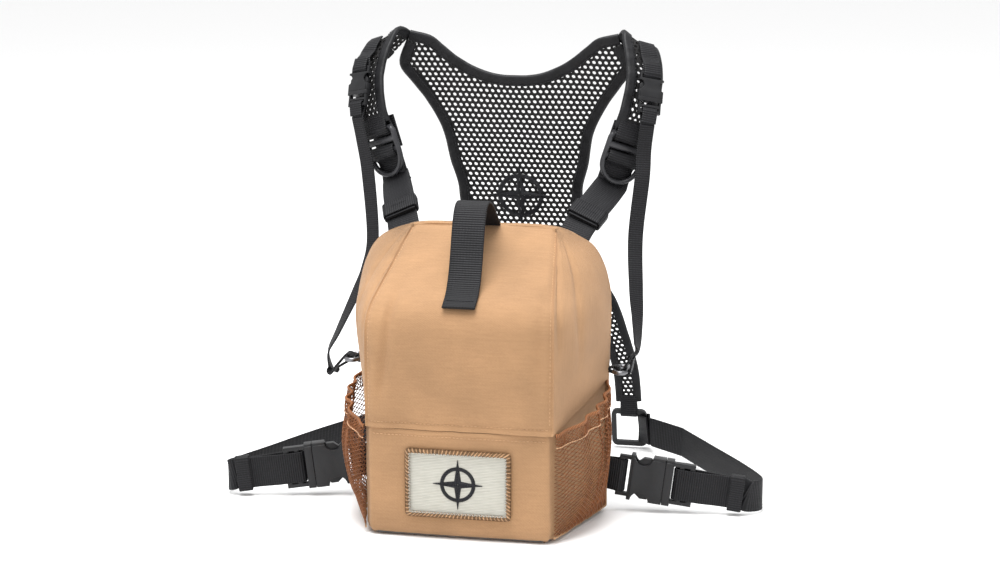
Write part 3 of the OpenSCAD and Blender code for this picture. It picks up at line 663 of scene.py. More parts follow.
def lid_front(u, v):
    """The strip of canvas that runs up the lid's front and over its top."""
    p, out = lid_profile(v)
    half = lid_half(p[0])
    x = (2 * u - 1) * half
    edge = half - abs(x)
    lift = 2.2 * sin(pi * v) ** 0.6 * (1 - (x / half) ** 2)
    lift -= 2.2 * fall(0, 5, edge)
    at_seam = v * LID_L
    lift += (0.9 * fall(0, 3.5, at_seam) - 0.7 * hill(at_seam - 4.6, 1.6)
             - 0.8 * fall(0, 4, LID_L - at_seam))
    lift += 0.5 * fall(0, 16, at_seam) * sin(x / 5.1 + 2.4 * wobble((x, 0, 0), 30))
    lift += 1.1 * wobble((x, p[0], p[1]), 46, 1.3) + 0.35 * wobble((x, p[0], p[1]), 17, 4.1)
    fold = hill(x + 58 - 0.12 * (p[1] - 120), 3.2) * ease(95, 125, p[1]) * fall(168, 190, p[1])
    lift -= 3.0 * fold
    tuck_in = hill(x - 60 - 0.05 * (p[1] - 130), 4.5) * ease(110, 130, p[1]) * fall(175, 200, p[1])
    lift -= 1.6 * tuck_in
    inward = 1.6 * fall(0, 6, edge) * (1 if x > 0 else -1)
    return vec(x - inward * 0.3, p[0] + out[0] * lift, p[1] + out[1] * lift)


rear_edge = smooth([[94, REAR_Y - 0.4, lid_edge(REAR_Y) + 0.4], [95.5, REAR_Y - 0.4, 135], [96.5, REAR_Y - 0.4, 165],
                    [92, REAR_Y - 0.4, 192], [80, REAR_Y - 0.4, 210], [TOP_W / 2, REAR_Y - 0.4, PACK_H - 1.5]], 10)
rear_along = lengths(rear_edge)


def lid_side(s):
    """The lid's side panel, puffed out between the front seam and the rear edge."""
    def f(u, v):
        """u runs up the side, v from the front seam to the rear edge."""
        front = lid_front(1.0 if s > 0 else 0.0, u)
        front[0] *= s
        share = u ** 1.08
        rear = on_line(share * rear_along[-1], rear_along, rear_edge)
        p = front + (rear - front) * v
        gap = np.linalg.norm(rear - front)
        puff = 5.5 * sin(pi * min(1, v * 1.02)) ** 0.8 * sin(pi * min(1.0, u * 0.96 + 0.04)) ** 0.7
        puff *= min(1.0, gap / 60) * (0.25 + 0.75 * ease(0, 0.32, u))
        puff -= 2.0 * hill(v - 0.055, 0.03) * ease(0.25, 0.45, u) * fall(0.80, 0.97, u)
        puff += 1.3 * wobble(p * vec(s, 1, 1), 38, 2.2) * sin(pi * v)
        puff -= 1.8 * hill(v - 0.26 - 0.12 * (1 - u), 0.05) * ease(0.1, 0.4, u) * fall(0.75, 0.95, u)
        out = unit(vec(0.94, -0.22, 0.15 + 0.5 * ease(0.6, 1.0, u)))
        p = p + out * puff
        p[0] *= s
        return p
    return f


lid_parts = [grid("lid_front", lid_front, 72, 100, CANVAS, (FRONT_W, LID_L))]
for name, s in SIDES.items():
    lid_parts.append(grid("lid_side_" + name, lid_side(s), 84, 48, CANVAS, (LID_L, DEPTH)))
for part in lid_parts:
    thicken(part, CANVAS_T, -1.0)


def lid_hem(u, v):
    x = (2 * u - 1) * (TOP_W / 2 - 1)
    z = PACK_H - 2.2 - v * 31
    return vec(x, REAR_Y - 1.2 - 2.6 * sin(pi * v) ** 0.5 - 0.5 * wobble((x, 0, z), 20), z)


hem = thicken(grid("lid_hem", lid_hem, 40, 14, CANVAS, (TOP_W, 31)), 3.2)
seam_line = [lid_front(k / 60, 4.5 / LID_L) + vec(0, -0.35, 0) for k in range(1, 60)]
seam_threads = threads("lid_seam_thread", spaced(seam_line, SEAM_PITCH), vec(0, -1, 0), *SEAM_STITCH, TAN_THREAD)
edge_threads = []
for name, s in SIDES.items():
    line = spaced([lid_front(0.5 + s * 0.49, k / 80) for k in range(3, 80)], SEAM_PITCH)
    edge_threads.append(threads("lid_edge_thread_" + name, line, vec(0, -1, 0.4), 2.1, 0.18, TAN_THREAD))
lid = join("lid_canvas", lid_parts + [hem, seam_threads] + edge_threads)
finish_piece(lid, "lid", "canvas", "lid_shell")

# ---- canvas: lower pack
plan_half = [[94, 47, 0], [90, 31, 0], [82, 0, 0], [74, -31, 0], [71.5, -40, 0], [69, -44.6, 0],
             [64, -46.6, 0], [45, -47, 0]]
plan = smooth([[-x, y, z] for x, y, z in plan_half] + [[0, -47.2, 0]] + plan_half[::-1], 10)
plan_along = lengths(plan)
PLAN_L = plan_along[-1]


FOOT_R = 8.0     # rounding of the bottom edge


def pack_wall(u, v):
    """The pack's canvas: u round it from the left rear corner, v up from the floor."""
    at = u * PLAN_L
    p = on_line(at, plan_along, plan)
    a, b = max(0, at - 2), min(PLAN_L, at + 2)
    d = unit(on_line(b, plan_along, plan) - on_line(a, plan_along, plan))
    out = vec(d[1], -d[0], 0)
    top = lid_edge(p[1]) - 0.5
    r = FOOT_R
    length = top - r + r * pi / 2
    run = v * length
    if run < r * pi / 2:
        a = run / r
        z, push = 0.25 + r * (1 - cos(a)), -r * (1 - sin(a))
    else:
        z, push = 0.25 + r + (run - r * pi / 2) * (top - r - 0.25) / (top - r), 0.0
    front = 1 - ease(60, 72, abs(p[0]))
    push += 1.1 * front * sin(pi * (p[0] + 70) / 140) * sin(pi * min(1, z / top)) ** 0.5
    push -= 0.5 * fall(0, 3, top - z)
    push += 0.4 * fall(0, 12, top - z) * sin(p[0] / 5.1 + 2.4 * wobble((p[0], 0, 0), 30)) * front
    push -= 1.3 * hill(abs(p[0]) - 70.2, 1.5) * (1 if p[1] < -30 else 0)
    push += 0.8 * wobble((p[0], p[1], z), 40, 5.0) * ease(0, 12, z)
    patch = fall(38, 48, abs(p[0])) * fall(26, 34, abs(z - 43)) if p[1] < -40 else 0
    push *= 1 - patch
    return vec(p[0] + out[0] * push, p[1] + out[1] * push, z)


wall = grid("pack_wall", pack_wall, 260, 40, CANVAS, (PLAN_L, SEAM_H))
floor_ring = [pack_wall(k / 120, 0.0) for k in range(121)]
inset_ring = [vec(p[0] * 0.4, p[1] * 0.4 + 4, 0.6) for p in floor_ring]
floor_verts = floor_ring + inset_ring + [vec(0, 4, 0.6)]
count = len(floor_ring)
floor_faces = [(k, (k + 1) % count, count + (k + 1) % count, count + k) for k in range(count)]
floor_faces += [(count + k, count + (k + 1) % count, 2 * count) for k in range(count)]
base = make("pack_floor", floor_verts, floor_faces, CANVAS, [(p[0], p[1]) for p in floor_verts])
for part in (wall, base):
    thicken(part, CANVAS_T, -1.0)
front_line = [pack_wall(0.5 + (k - 30) / 30 * 0.205, 0.952) + vec(0, -0.3, 0) for k in range(1, 60)]
low_threads = threads("pack_seam_thread", spaced(front_line, SEAM_PITCH), vec(0, -1, 0), *SEAM_STITCH, TAN_THREAD)
pack = join("pack_canvas", [wall, base, low_threads])
finish_piece(pack, "pack", "canvas", "pack_shell")

# ---- patch
PATCH_W, PATCH_H, PATCH_Z, BORDER = 80.0, 52.0, 43.0, 4.0


def patch_cloth(u, v):
    x, z = (u - 0.5) * (PATCH_W - 2 * BORDER + 2), PATCH_Z + (v - 0.5) * (PATCH_H - 2 * BORDER + 2)
    puff = 0.25 * sin(pi * u) * sin(pi * v) + 0.12 * wobble((x, 0, z), 14)
    return vec(x, FRONT_Y - 0.85 - puff, z)


cloth = thicken(grid("patch_cloth", patch_cloth, 60, 40, PATCH, (PATCH_W, PATCH_H)), 1.2)
finish_piece(cloth, "pack", "patch_cloth", "patch_field")


def patch_ring(inset, corner, y):
    """A closed rounded rectangle in front of the pack."""
    w, h = PATCH_W / 2 - inset, PATCH_H / 2 - inset
    points = [vec(x, y, PATCH_Z + z) for x, z in rectangle(w, h, corner, 6)]
    return np.array(points + points[:1])


outer = spaced(patch_ring(0.1, 2.4, FRONT_Y - 1.2), 0.98)
inner_line = patch_ring(BORDER - 0.1, 1.2, FRONT_Y - 1.6)
inner_along = lengths(inner_line)
stitch_pieces = []
count = len(outer)
for i in range(count - 1):
    share = (i + 0.55 * (i % 2) + random.uniform(-0.25, 0.25)) / (count - 1) * inner_along[-1]
    end = on_line(share, inner_along, inner_line)
    start = outer[i] + vec(random.uniform(-0.15, 0.15), 0, random.uniform(-0.15, 0.15))
    mid = (start + end) / 2 + vec(0, -1.35 - random.uniform(0, 0.25), 0)
    bow = smooth([start, mid, end], 3)
    stitch_pieces.append((bow, 0.52 + random.uniform(-0.05, 0.08)))


def strands(name, pieces, material, sides=6):
    """Round threads along several short lines, given as (points, radius)."""
    verts, faces = [], []
    for line, r in pieces:
        h = headings(line)
        base = len(verts)
        n = len(line)
        for i in range(n):
            o = cross_part(vec(0.02, -1, 0.03), h[i])
            side = np.cross(h[i], o)
            size = r * (0.45 if i in (0, n - 1) else 1.0)
            verts += [line[i] + (o * sin(a) + side * cos(a)) * size
                      for a in [2 * pi * k / sides for k in range(sides)]]
        faces += tube(n, sides, base)
    return make(name, verts, faces, material, [(v[0] + v[1], v[2]) for v in verts])


overlock = strands("patch_overlock", [q for i, q in enumerate(stitch_pieces) if i % 3], BROWN_THREAD)
overlock = join("patch_overlock", [overlock, strands("patch_light", stitch_pieces[::3], TAN_THREAD)])
core = patch_ring(BORDER / 2, 2.0, FRONT_Y - 1.05)
core_ribbon = ribbon("patch_core", core, vec(0, -1, 0), 1.7, 3.9, BROWN_THREAD)
zigzag = []
line = spaced(patch_ring(BORDER - 0.3, 1.2, FRONT_Y - 2.75), 1.35)
for i in range(len(line) - 1):
    side = 1.15 if i % 2 else -1.15
    centre = vec(0, line[i][1], PATCH_Z)
    out = unit((line[i] - centre) * vec(1, 0, 1))
    zigzag.append((np.array([line[i] + out * side, (line[i] + line[i + 1]) / 2 + vec(0, -0.55, 0),
                             line[i + 1] - out * side]), 0.3))
light_thread = strands("patch_zigzag", zigzag, PATCH, 5)
border = join("patch_overlock", [overlock, core_ribbon, light_thread])
finish_piece(border, "pack", "patch_edge", "patch_border")


def compass_stitches(name, place, r, pitch, size):
    """A ring with a four-pointed star, in satin stitch; place(x, z, lift) puts it in space."""
    found = []
    count = int(2 * pi * 0.64 * r / pitch)
    for k in range(count):
        a = 2 * pi * k / count
        ends = [(q * r * cos(a), q * r * sin(a)) for q in (0.56, 0.60, 0.64, 0.68, 0.72)]
        found.append((np.array([place(x, z, h) for (x, z), h in zip(ends, (0, 0.35, 0.5, 0.35, 0))]), size))
    rows = int(r / pitch)
    for arm in range(4):
        a = radians(90 + 90 * arm)
        tip = vec(r * cos(a), r * sin(a))
        for turn in (-45, 45):
            b = a + radians(turn)
            waist = vec(0.2 * r * cos(b), 0.2 * r * sin(b))
            for k in range(rows):
                t = (k + 0.5) / rows
                spine, edge = tip * t, waist + (tip - waist) * t
                line = [spine + (edge - spine) * q for q in (0.0, 0.35, 0.7, 1.0)]
                found.append((np.array([place(q[0], q[1], h) for q, h in zip(line, (0.25, 0.6, 0.5, 0))]), size))
    return strands(name, found, SATIN, 5)


patch_mark = compass_stitches("patch_mark", lambda x, z, h: vec(x, FRONT_Y - 1.62 - h, PATCH_Z + z), 18.72, 0.46, 0.3)
finish_piece(patch_mark, "pack", "embroidery", "patch_emblem")

# ---- side pockets
BULGE = 16.0
TURN = atan2((BACK_W - FRONT_W) / 2, DEPTH)
NET_FROM, NET_TO = 0.035, 1.0


def pocket_at(s, u, v, lift=0.0):
    """The pocket's surface: u from the front round to the rear, v from the bottom (0) to the hem's top (1)."""
    share = NET_FROM + (NET_TO - NET_FROM) * u
    y = FRONT_Y + share * DEPTH
    top = lid_edge(y) - 1.0
    z = 5.0 + v * (top - 5.0)
    swell = 0.05 + sin(pi / 2 * min(1, v / 0.62)) ** 0.75 - 0.28 * ease(0.66, 1, v)
    q = 0.8 + BULGE * sin(pi * min(1, max(0, u))) ** 0.75 * swell
    ruck = sin(2 * pi * 5 * u + 2.6 * wobble((u * 60, v * 26, s), 18))
    q += (1.9 * v ** 1.5 + 0.3) * ruck * sin(pi * u) ** 0.5
    q += (1.9 * wobble((u * 90, v * 70, 5 * s), 24, 3.0) * sin(pi * u)
          * sin(pi * min(1, v + 0.15)) ** 0.5)
    q = max(q, 0.6) + lift
    x = FRONT_W / 2 + share * (BACK_W - FRONT_W) / 2 + q * cos(TURN)
    return vec(s * x, y - q * sin(TURN), z)


def net_mesh(name, f, nu, nv, material, thick):
    """Diamond net: thin cords round every diamond of a lattice."""
    def at(i, j):
        return f(min(1, max(0, i / nu)), min(1, max(0, j / nv)))
    index, verts, faces = {}, [], []

    def vert(i, j):
        if (i, j) not in index:
            index[(i, j)] = len(verts)
            verts.append(at(i, j))
        return index[(i, j)]

    for i in range(1, nu):
        for j in range(1, nv):
            if (i + j) % 2:
                faces.append((vert(i, j - 1), vert(i + 1, j), vert(i, j + 1), vert(i - 1, j)))
    obj = make(name, verts, faces, material)
    settle(obj, ("WIREFRAME", dict(thickness=thick * MM, use_even_offset=False, use_boundary=True)))
    return obj


NET_TOP = 0.885     # share of the pocket's height where the gathered hem begins
for name, s in SIDES.items():
    net = net_mesh("pocket_net_cords_" + name, lambda u, v: pocket_at(s, u, v * NET_TOP), 34, 46, NET, 0.95)
    finish_piece(net, "pack", "net", "pocket_net_" + name)
    hem_at = lambda u, v: pocket_at(s, u, NET_TOP + (1 - NET_TOP) * v,
                                    0.5 + 0.5 * sin(2 * pi * 31 * u + 3 * wobble((u * 80, 0, s), 9))
                                    * sin(pi * v) ** 0.5 + 0.7 * sin(pi * v))
    band = net_mesh("pocket_hem_band_" + name, hem_at, 62, 8, NET, 1.05)
    edge = [pocket_at(s, k / 90, 1.0, 0.5) for k in range(91)]
    cord = ribbon("pocket_edge_" + name, edge, vec(0, 0, 1), 2.6, 1.9, HEM)
    line = [pocket_at(s, k / 90, NET_TOP - 0.004, 1.1) for k in range(91)]
    low = threads("pocket_stitch_" + name, spaced(line, 2.1), vec(s, -0.3, 0), 1.9, 0.42, PEACH)
    edge = [pocket_at(s, 1.0, k / 30, 0.3) for k in range(31)]
    side_seam = [ribbon("pocket_side_" + name, edge, vec(s * 0.3, 1, 0), 1.8, 1.2, CANVAS_SPACE)]
    bottom = [pocket_at(s, k / 60, 0.0, 0.0) for k in range(61)]
    side_seam.append(ribbon("pocket_foot_" + name, bottom, vec(0, 0, 1), 2.0, 1.2, CANVAS_SPACE))
    hem_piece = join("pocket_hem_band_" + name, [band, cord, low] + side_seam)
    finish_piece(hem_piece, "pack", "net", "pocket_hem_" + name)

# ---- lid pull
PULL_W, PULL_RISE = 25.0, 38.0
slope3 = vec(0, REAR_Y - FRONT_Y, PACK_H - CREASE_H)
slope_up = unit(vec(0, -slope3[2], slope3[1]))
pull_path = []
for k in range(61):
    u = k / 60
    along = max(0.0, (u - 0.1) / 0.9)
    rise = 0.0 if u < 0.1 else sin(pi * along ** 1.8)
    pull_path.append(vec(0, FRONT_Y, CREASE_H) + slope3 * (0.04 + 0.945 * u)
                     + slope_up * (2.6 * fall(0.86, 1.0, u) + 0.9 + PULL_RISE * rise))
pull_path = np.array(pull_path)
pull = ribbon("lid_pull_webbing", pull_path, vec(1, 0, 0), PULL_W, 1.9, WEBBING)
box = []
for q, r in ((0.012, 0.012), (0.075, 0.075)):
    a = pull_path[int(q * 60)]
    box.append([a + vec(x, 0, 0) + slope_up * 1.15 for x in np.linspace(-10.5, 10.5, 10)])
pull_threads = [threads("pull_stitch_%d" % i, spaced(row, 2.3), slope_up, 1.9, 0.3, BLACK_THREAD)
                for i, row in enumerate(box)]
pull = join("lid_pull_webbing", [pull] + pull_threads)
finish_piece(pull, "lid", "webbing", "lid_pull")

# ---- yoke
COLLAR, CREST = 332.0, 368.0
collar_half = [(0, COLLAR), (18, COLLAR + 1), (33, COLLAR + 6), (46, COLLAR + 14), (58, COLLAR + 24),
               (68, COLLAR + 32), (84, CREST)]
arm_half = [(95, CREST - 28), (85, CREST - 44), (74, CREST - 60), (62, CREST - 84), (57, 257), (52, 239), (51, 225),
            (48, 200), (51, 180)]
outline = ([(x, v) for x, v in collar_half] + arm_half + [(0, 172)]
           + [(-x, v) for x, v in reversed(arm_half)] + [(-x, v) for x, v in reversed(collar_half[1:])])


def inside_outline(x, v, inset):
    hit, near = False, 1e9
    n = len(outline)
    for i in range(n):
        (x0, v0), (x1, v1) = outline[i], outline[(i + 1) % n]
        if (v0 > v) != (v1 > v) and x < (x1 - x0) * (v - v0) / (v1 - v0) + x0:
            hit = not hit
        dx, dv = x1 - x0, v1 - v0
        t = min(1, max(0, ((x - x0) * dx + (v - v0) * dv) / (dx * dx + dv * dv)))
        near = min(near, hypot(x - x0 - t * dx, v - v0 - t * dv))
    return hit and near > inset


def yoke_wave(x, v):
    """The yoke's soft ripple out of its plane, still where the mark is sewn and at the shoulders."""
    calm = ease(26, 55, hypot(x, v - 229)) * fall(70, 88, abs(x))
    folds = 1.3 * sin((abs(x) * 0.6 + v * 0.5) / 11.0) * ease(255, 300, v) * fall(330, 350, v)
    return calm * (2.6 * wobble((x, v, 0), 52, 0.7) + folds)


def yoke_place(s, t, out):
    return yoke_point(s, t, out + yoke_wave(s, t))


YOKE_PITCH, YOKE_HOLE, MARK_V = 4.9, 1.62, 229
cells = hex_cells((-100, 100), (170, 372), YOKE_PITCH, lambda x, v: inside_outline(x, v, 4.5))
yoke = holed("yoke_spacer", cells, yoke_place, 2.2, YOKE_HOLE, YOKE_PITCH, MESH)
finish_piece(yoke, "pack", "spacer_mesh", "yoke_mesh")
yoke_mark = compass_stitches("yoke_mark", lambda x, v, h: yoke_point(x, MARK_V + v, 1.3 + h), 27.0, 0.6, 0.38)
finish_piece(yoke_mark, "pack", "embroidery", "yoke_emblem")


def edge_ribbon(name, line, inset, w, t, material, steps=8, ruck=0.5):
    """Folded binding along an edge in the yoke's plane; positive inset is to the line's left."""
    flat = smooth([(x, v, 0) for x, v in line], steps)
    h = headings(flat)
    path, dirs = [], []
    for p, d in zip(flat, h):
        side = vec(-d[1], d[0], 0)
        q = p + side * inset
        path.append(yoke_place(q[0], q[1], 0))
        dirs.append(side[0] * vec(1, 0, 0) + side[1] * YOKE_UP)
    path = spaced(path, 2.2)
    last, steps = len(dirs) - 1, len(path) - 1
    dirs = np.array([dirs[min(last, int(round(i * last / steps)))] for i in range(len(path))])
    return ribbon(name, path, dirs, w, t, material, ruck=ruck, pitch=9.0)


collar_line = [(-x, v) for x, v in reversed(collar_half[1:])] + collar_half
arm_line = arm_half + [(25, 174), (0, 172)] + [(-25, 174)] + [(-x, v) for x, v in reversed(arm_half)]
BIND_IN, BIND_W, BIND_T, ROW_IN = -4.4, 9.2, 4.4, -7.6
arm_ends = [(88, CREST - 8)], [(-88, CREST - 8)]
bindings = [edge_ribbon("binding_collar", collar_line, BIND_IN, BIND_W, BIND_T, BINDING),
            edge_ribbon("binding_arm", arm_ends[0] + arm_line + arm_ends[1], BIND_IN, BIND_W, BIND_T, BINDING)]
stitch_rows = []
for i, line in enumerate((collar_line, arm_line)):
    flat = smooth([(x, v, 0) for x, v in line], 6)
    h = headings(flat)
    for face in (1, -1):
        row = [yoke_place(p[0] - d[1] * ROW_IN, p[1] + d[0] * ROW_IN, face * 2.3) for p, d in zip(flat, h)]
        row = spaced(row, 3.0)
        stitch_rows.append(threads("binding_stitch_%d_%d" % (i, face), row, YOKE_OUT * face, 2.3, 0.32,
                                   BLACK_THREAD))
binding = join("yoke_folded_binding", bindings + stitch_rows)
finish_piece(binding, "pack", "binding", "yoke_binding")

# ---- shoulder straps and legs
strap_up = unit(vec(0.31, 0.07, 0.95))
LOCK_MID = vec(95, 109.5, 265.5)
lock_frame = frame_at(LOCK_MID, strap_up, (0.88, 0.42, 0))
STRAP_END = LOCK_MID + strap_up * 23
LOCK_X, LOCK_Y = lock_frame[:3, 0], lock_frame[:3, 1]
shoulder_points = [yoke_point(94, 355), vec(101, 143, 353), vec(107, 131, 344), vec(110, 121, 325),
                   STRAP_END + strap_up * 14, STRAP_END]
shoulder_turns = [vec(0.55, 0.1, -0.8), vec(0.8, 0.1, -0.5), vec(0.85, 0.35, -0.25), vec(0.85, 0.5, 0), LOCK_X, LOCK_X]
shoulder_coarse, shoulder_coarse_dirs = smooth(shoulder_points, 5), smooth(shoulder_turns, 5)
shoulder_path, shoulder_dirs = smooth(shoulder_points, 12), smooth(shoulder_turns, 12)


def strap_place(path, dirs, s):
    """place(across, along, out) on a strap, along in mm from its start."""
    along = lengths(path)
    h = headings(path)

    def place(a, b, out):
        p = on_line(b, along, path)
        d = unit(on_line(b, along, h))
        w = cross_part(on_line(b, along, dirs), d)
        return mirror(p + w * a + np.cross(w, d) * out, s)
    return place, along[-1]


STRAP_PITCH, STRAP_HOLE = 4.4, 1.35


def padded_strap(name, path, dirs, w, side_w, s, thick):
    """A mesh strap between two folded bindings."""
    place, length = strap_place(path, dirs, s)
    inner = w / 2 - side_w
    found = hex_cells((-inner - 3, inner + 3), (2, length - 2), STRAP_PITCH, lambda a, b: abs(a) < inner + 1.2)
    pieces = [holed(name + "_mesh", found, place, thick * 0.5, STRAP_HOLE, STRAP_PITCH, MESH)]
    rows = np.linspace(0, length, max(8, int(length / 2.2)))
    for side in (1, -1):
        line = np.array([place(side * (w / 2 - side_w / 2), b, 0) for b in rows])
        edge = np.array([place(side * (w / 2), b, 0) for b in rows])
        pieces.append(ribbon("%s_bind_%d" % (name, side), line, edge - line, side_w, thick, BINDING,
                             ruck=0.4, pitch=8.0))
        for face in (1, -1):
            row = spaced([place(side * (inner + 1.3), b, face * (thick / 2 + 0.02)) for b in rows], 3.0)
            away = place(0, length / 2, face) - place(0, length / 2, 0)
            pieces.append(threads("%s_row_%d_%d" % (name, side, face), row, away, 2.2, 0.3, BLACK_THREAD))
    return pieces


leg_flat = smooth([(30, 192), (48, 165), (66, 135), (75, 107), (83, 74), (85, 44.5)], 10)
leg_path = np.array([yoke_point(p[0], p[1]) for p in leg_flat])
leg_h = headings(leg_flat)
leg_dirs = np.array([vec(1, 0, 0) * d[1] - YOKE_UP * d[0] for d in leg_h])
for name, s in SIDES.items():
    parts = padded_strap("shoulder_pad_" + name, shoulder_path, shoulder_dirs, 30.0, 8.6, s, 4.2)
    bar = placed(lock_frame, (0, 0, 18))
    loop = hook(bar, strap_up, LOCK_Y, 4.4, 13)
    parts.append(ribbon("shoulder_loop_" + name, loop, LOCK_X, 25, 2.1, WEBBING, s))
    flap = np.array([placed(lock_frame, (0, 7, z)) for z in np.linspace(27, 1, 14)])
    parts.append(ribbon("shoulder_flap_" + name, flap, LOCK_X, 28, 1.6, WEBBING, s))
    row = [placed(lock_frame, (a, -1.3 - 0.85, 28.5)) for a in np.linspace(-10, 10, 10)]
    parts.append(threads("shoulder_bar_tack_" + name, mirror(row, s), mirror(-LOCK_Y, s), *TACK_STITCH, BLACK_THREAD))
    strap = join("shoulder_pad_" + name, parts)
    finish_piece(strap, "pack", "binding", "shoulder_strap_" + name)
    parts = padded_strap("yoke_leg_pad_" + name, leg_path, leg_dirs, 22.0, 7.0, s, 3.6)
    ring_bar = yoke_point(85, 34.5)
    loop = hook(ring_bar, YOKE_UP, YOKE_OUT, 3.8, 16)
    parts.append(ribbon("leg_loop_" + name, loop, vec(1, 0, 0), 14, 1.6, WEBBING, s))
    leg = join("yoke_leg_pad_" + name, parts)
    finish_piece(leg, "pack", "binding", "yoke_leg_" + name)

# ---- ladder locks, top webbing and keepers
lock_foot = placed(lock_frame, (0, 4, -23))
TOP_KEEPER = vec(74, 76, 227)
keeper_frame = frame_at(TOP_KEEPER, lock_foot - TOP_KEEPER, (0.92, -0.05, -0.35))
lock_lap = [(4.2, -22.4), (5.2, -18), (5.2, -4), (4.9, -1), (4.2, 2), (2.6, 3.7), (0, 4.3), (-2.6, 3.7), (-3.6, 1.5),
            (-3.6, -1.5), (-2.4, -3.5), (-0.6, -4.4), (1.4, -5.4), (2.9, -7.2), (3.2, -10), (3.2, -17), (2.7, -20.6)]
top_points = ([vec(66, 55.9, 196), vec(66, 57.1, 210)] + [placed(keeper_frame, (0, 1.4, z)) for z in (-8, 8)]
              + [placed(lock_frame, (0, y, z)) for y, z in lock_lap]
              + [placed(keeper_frame, (0, -1.4, z)) for z in (8, -10)])
KEEP_X = keeper_frame[:3, 0]
top_turns = [vec(1, 0, 0)] * 2 + [KEEP_X] * 2 + [LOCK_X] * len(lock_lap) + [KEEP_X] * 2
top_path, top_dirs = smooth(top_points, 5), smooth(top_turns, 5)
LOCK_CORNERS = ((-15, -3.5, 15, 180), (15, -3.5, 15, 270), (15, 18.2, 4.5, 0), (-15, 18.2, 4.5, 90))
LOCK_RAIL, LOCK_BAR, LOCK_BARS = (4.9, 3.5), (5.4, 4.3), (17.4, 9, 0.2)     # width and depth; heights
for name, s in SIDES.items():
    rail = []
    for cx, cz, r, start in LOCK_CORNERS:
        for k in range(10):
            a = radians(start + 10 * k)
            rail.append((cx - copysign(r, cx) + r * cos(a), cz - (r if cz > 0 else 0) + r * sin(a)))
    rail = [placed(lock_frame, (x, 0, z)) for x, z in rail + rail[:1]]
    rail = spaced(rail, 1.1)
    lock = [ribbon("ladder_lock_%s_moulded" % name, rail, LOCK_Y, *LOCK_RAIL, PLASTIC_GREY, s)]
    for k, z in enumerate(LOCK_BARS):
        bar = np.array([placed(lock_frame, (x, 0, z)) for x in np.linspace(-14.6, 14.6, 12)])
        lock.append(ribbon("lock_bar_%s_%d" % (name, k), bar, strap_up, *LOCK_BAR, PLASTIC_GREY, s))
    finish_piece(join("ladder_lock_%s_moulded" % name, lock), "lock_" + name, "buckle_plastic", "ladder_lock_" + name)
    top = ribbon("top_webbing_run_" + name, top_path, top_dirs, 25, 1.75, WEBBING, s, ruck=0.25, pitch=14)
    tack = [threads("top_tack_%s_%d" % (name, k), mirror([vec(66 + a, 56.75, z) for a in np.linspace(-10, 10, 10)], s),
                    vec(0, 1, 0), *TACK_STITCH, BLACK_THREAD) for k, z in enumerate((200, 210))]
    top = join("top_webbing_run_" + name, [top] + tack)
    finish_piece(top, "pack", "webbing", "top_webbing_" + name)


def keeper(name, node, body, f, at, length, inner_t, s):
    """A short sewn band round the webbing."""
    half_w, half_t = 25 / 2 + 0.3 + 0.75, inner_t / 2 + 0.75
    ring = [placed(f, (x, y, at)) for x, y in rectangle(half_w, half_t, 1.6, 5)]
    ring = spaced(ring + ring[:1], 1.6)
    z = f[:3, 2]
    band = ribbon(name, ring, z, length, 1.5, WEBBING, s)
    tack = [placed(f, (a, -half_t - 0.8, at + 0.3)) for a in np.linspace(-6, 6, 7)]
    row = threads(name + "_tack", mirror(tack, s), mirror(-f[:3, 1], s), 1.7, 0.3, BLACK_THREAD)
    return finish_piece(join(name, [band, row]), body, "webbing", node)


for name, s in SIDES.items():
    keeper("top_keeper_band_" + name, "top_keeper_" + name, "pack", keeper_frame, 0, 16, 5.6, s)

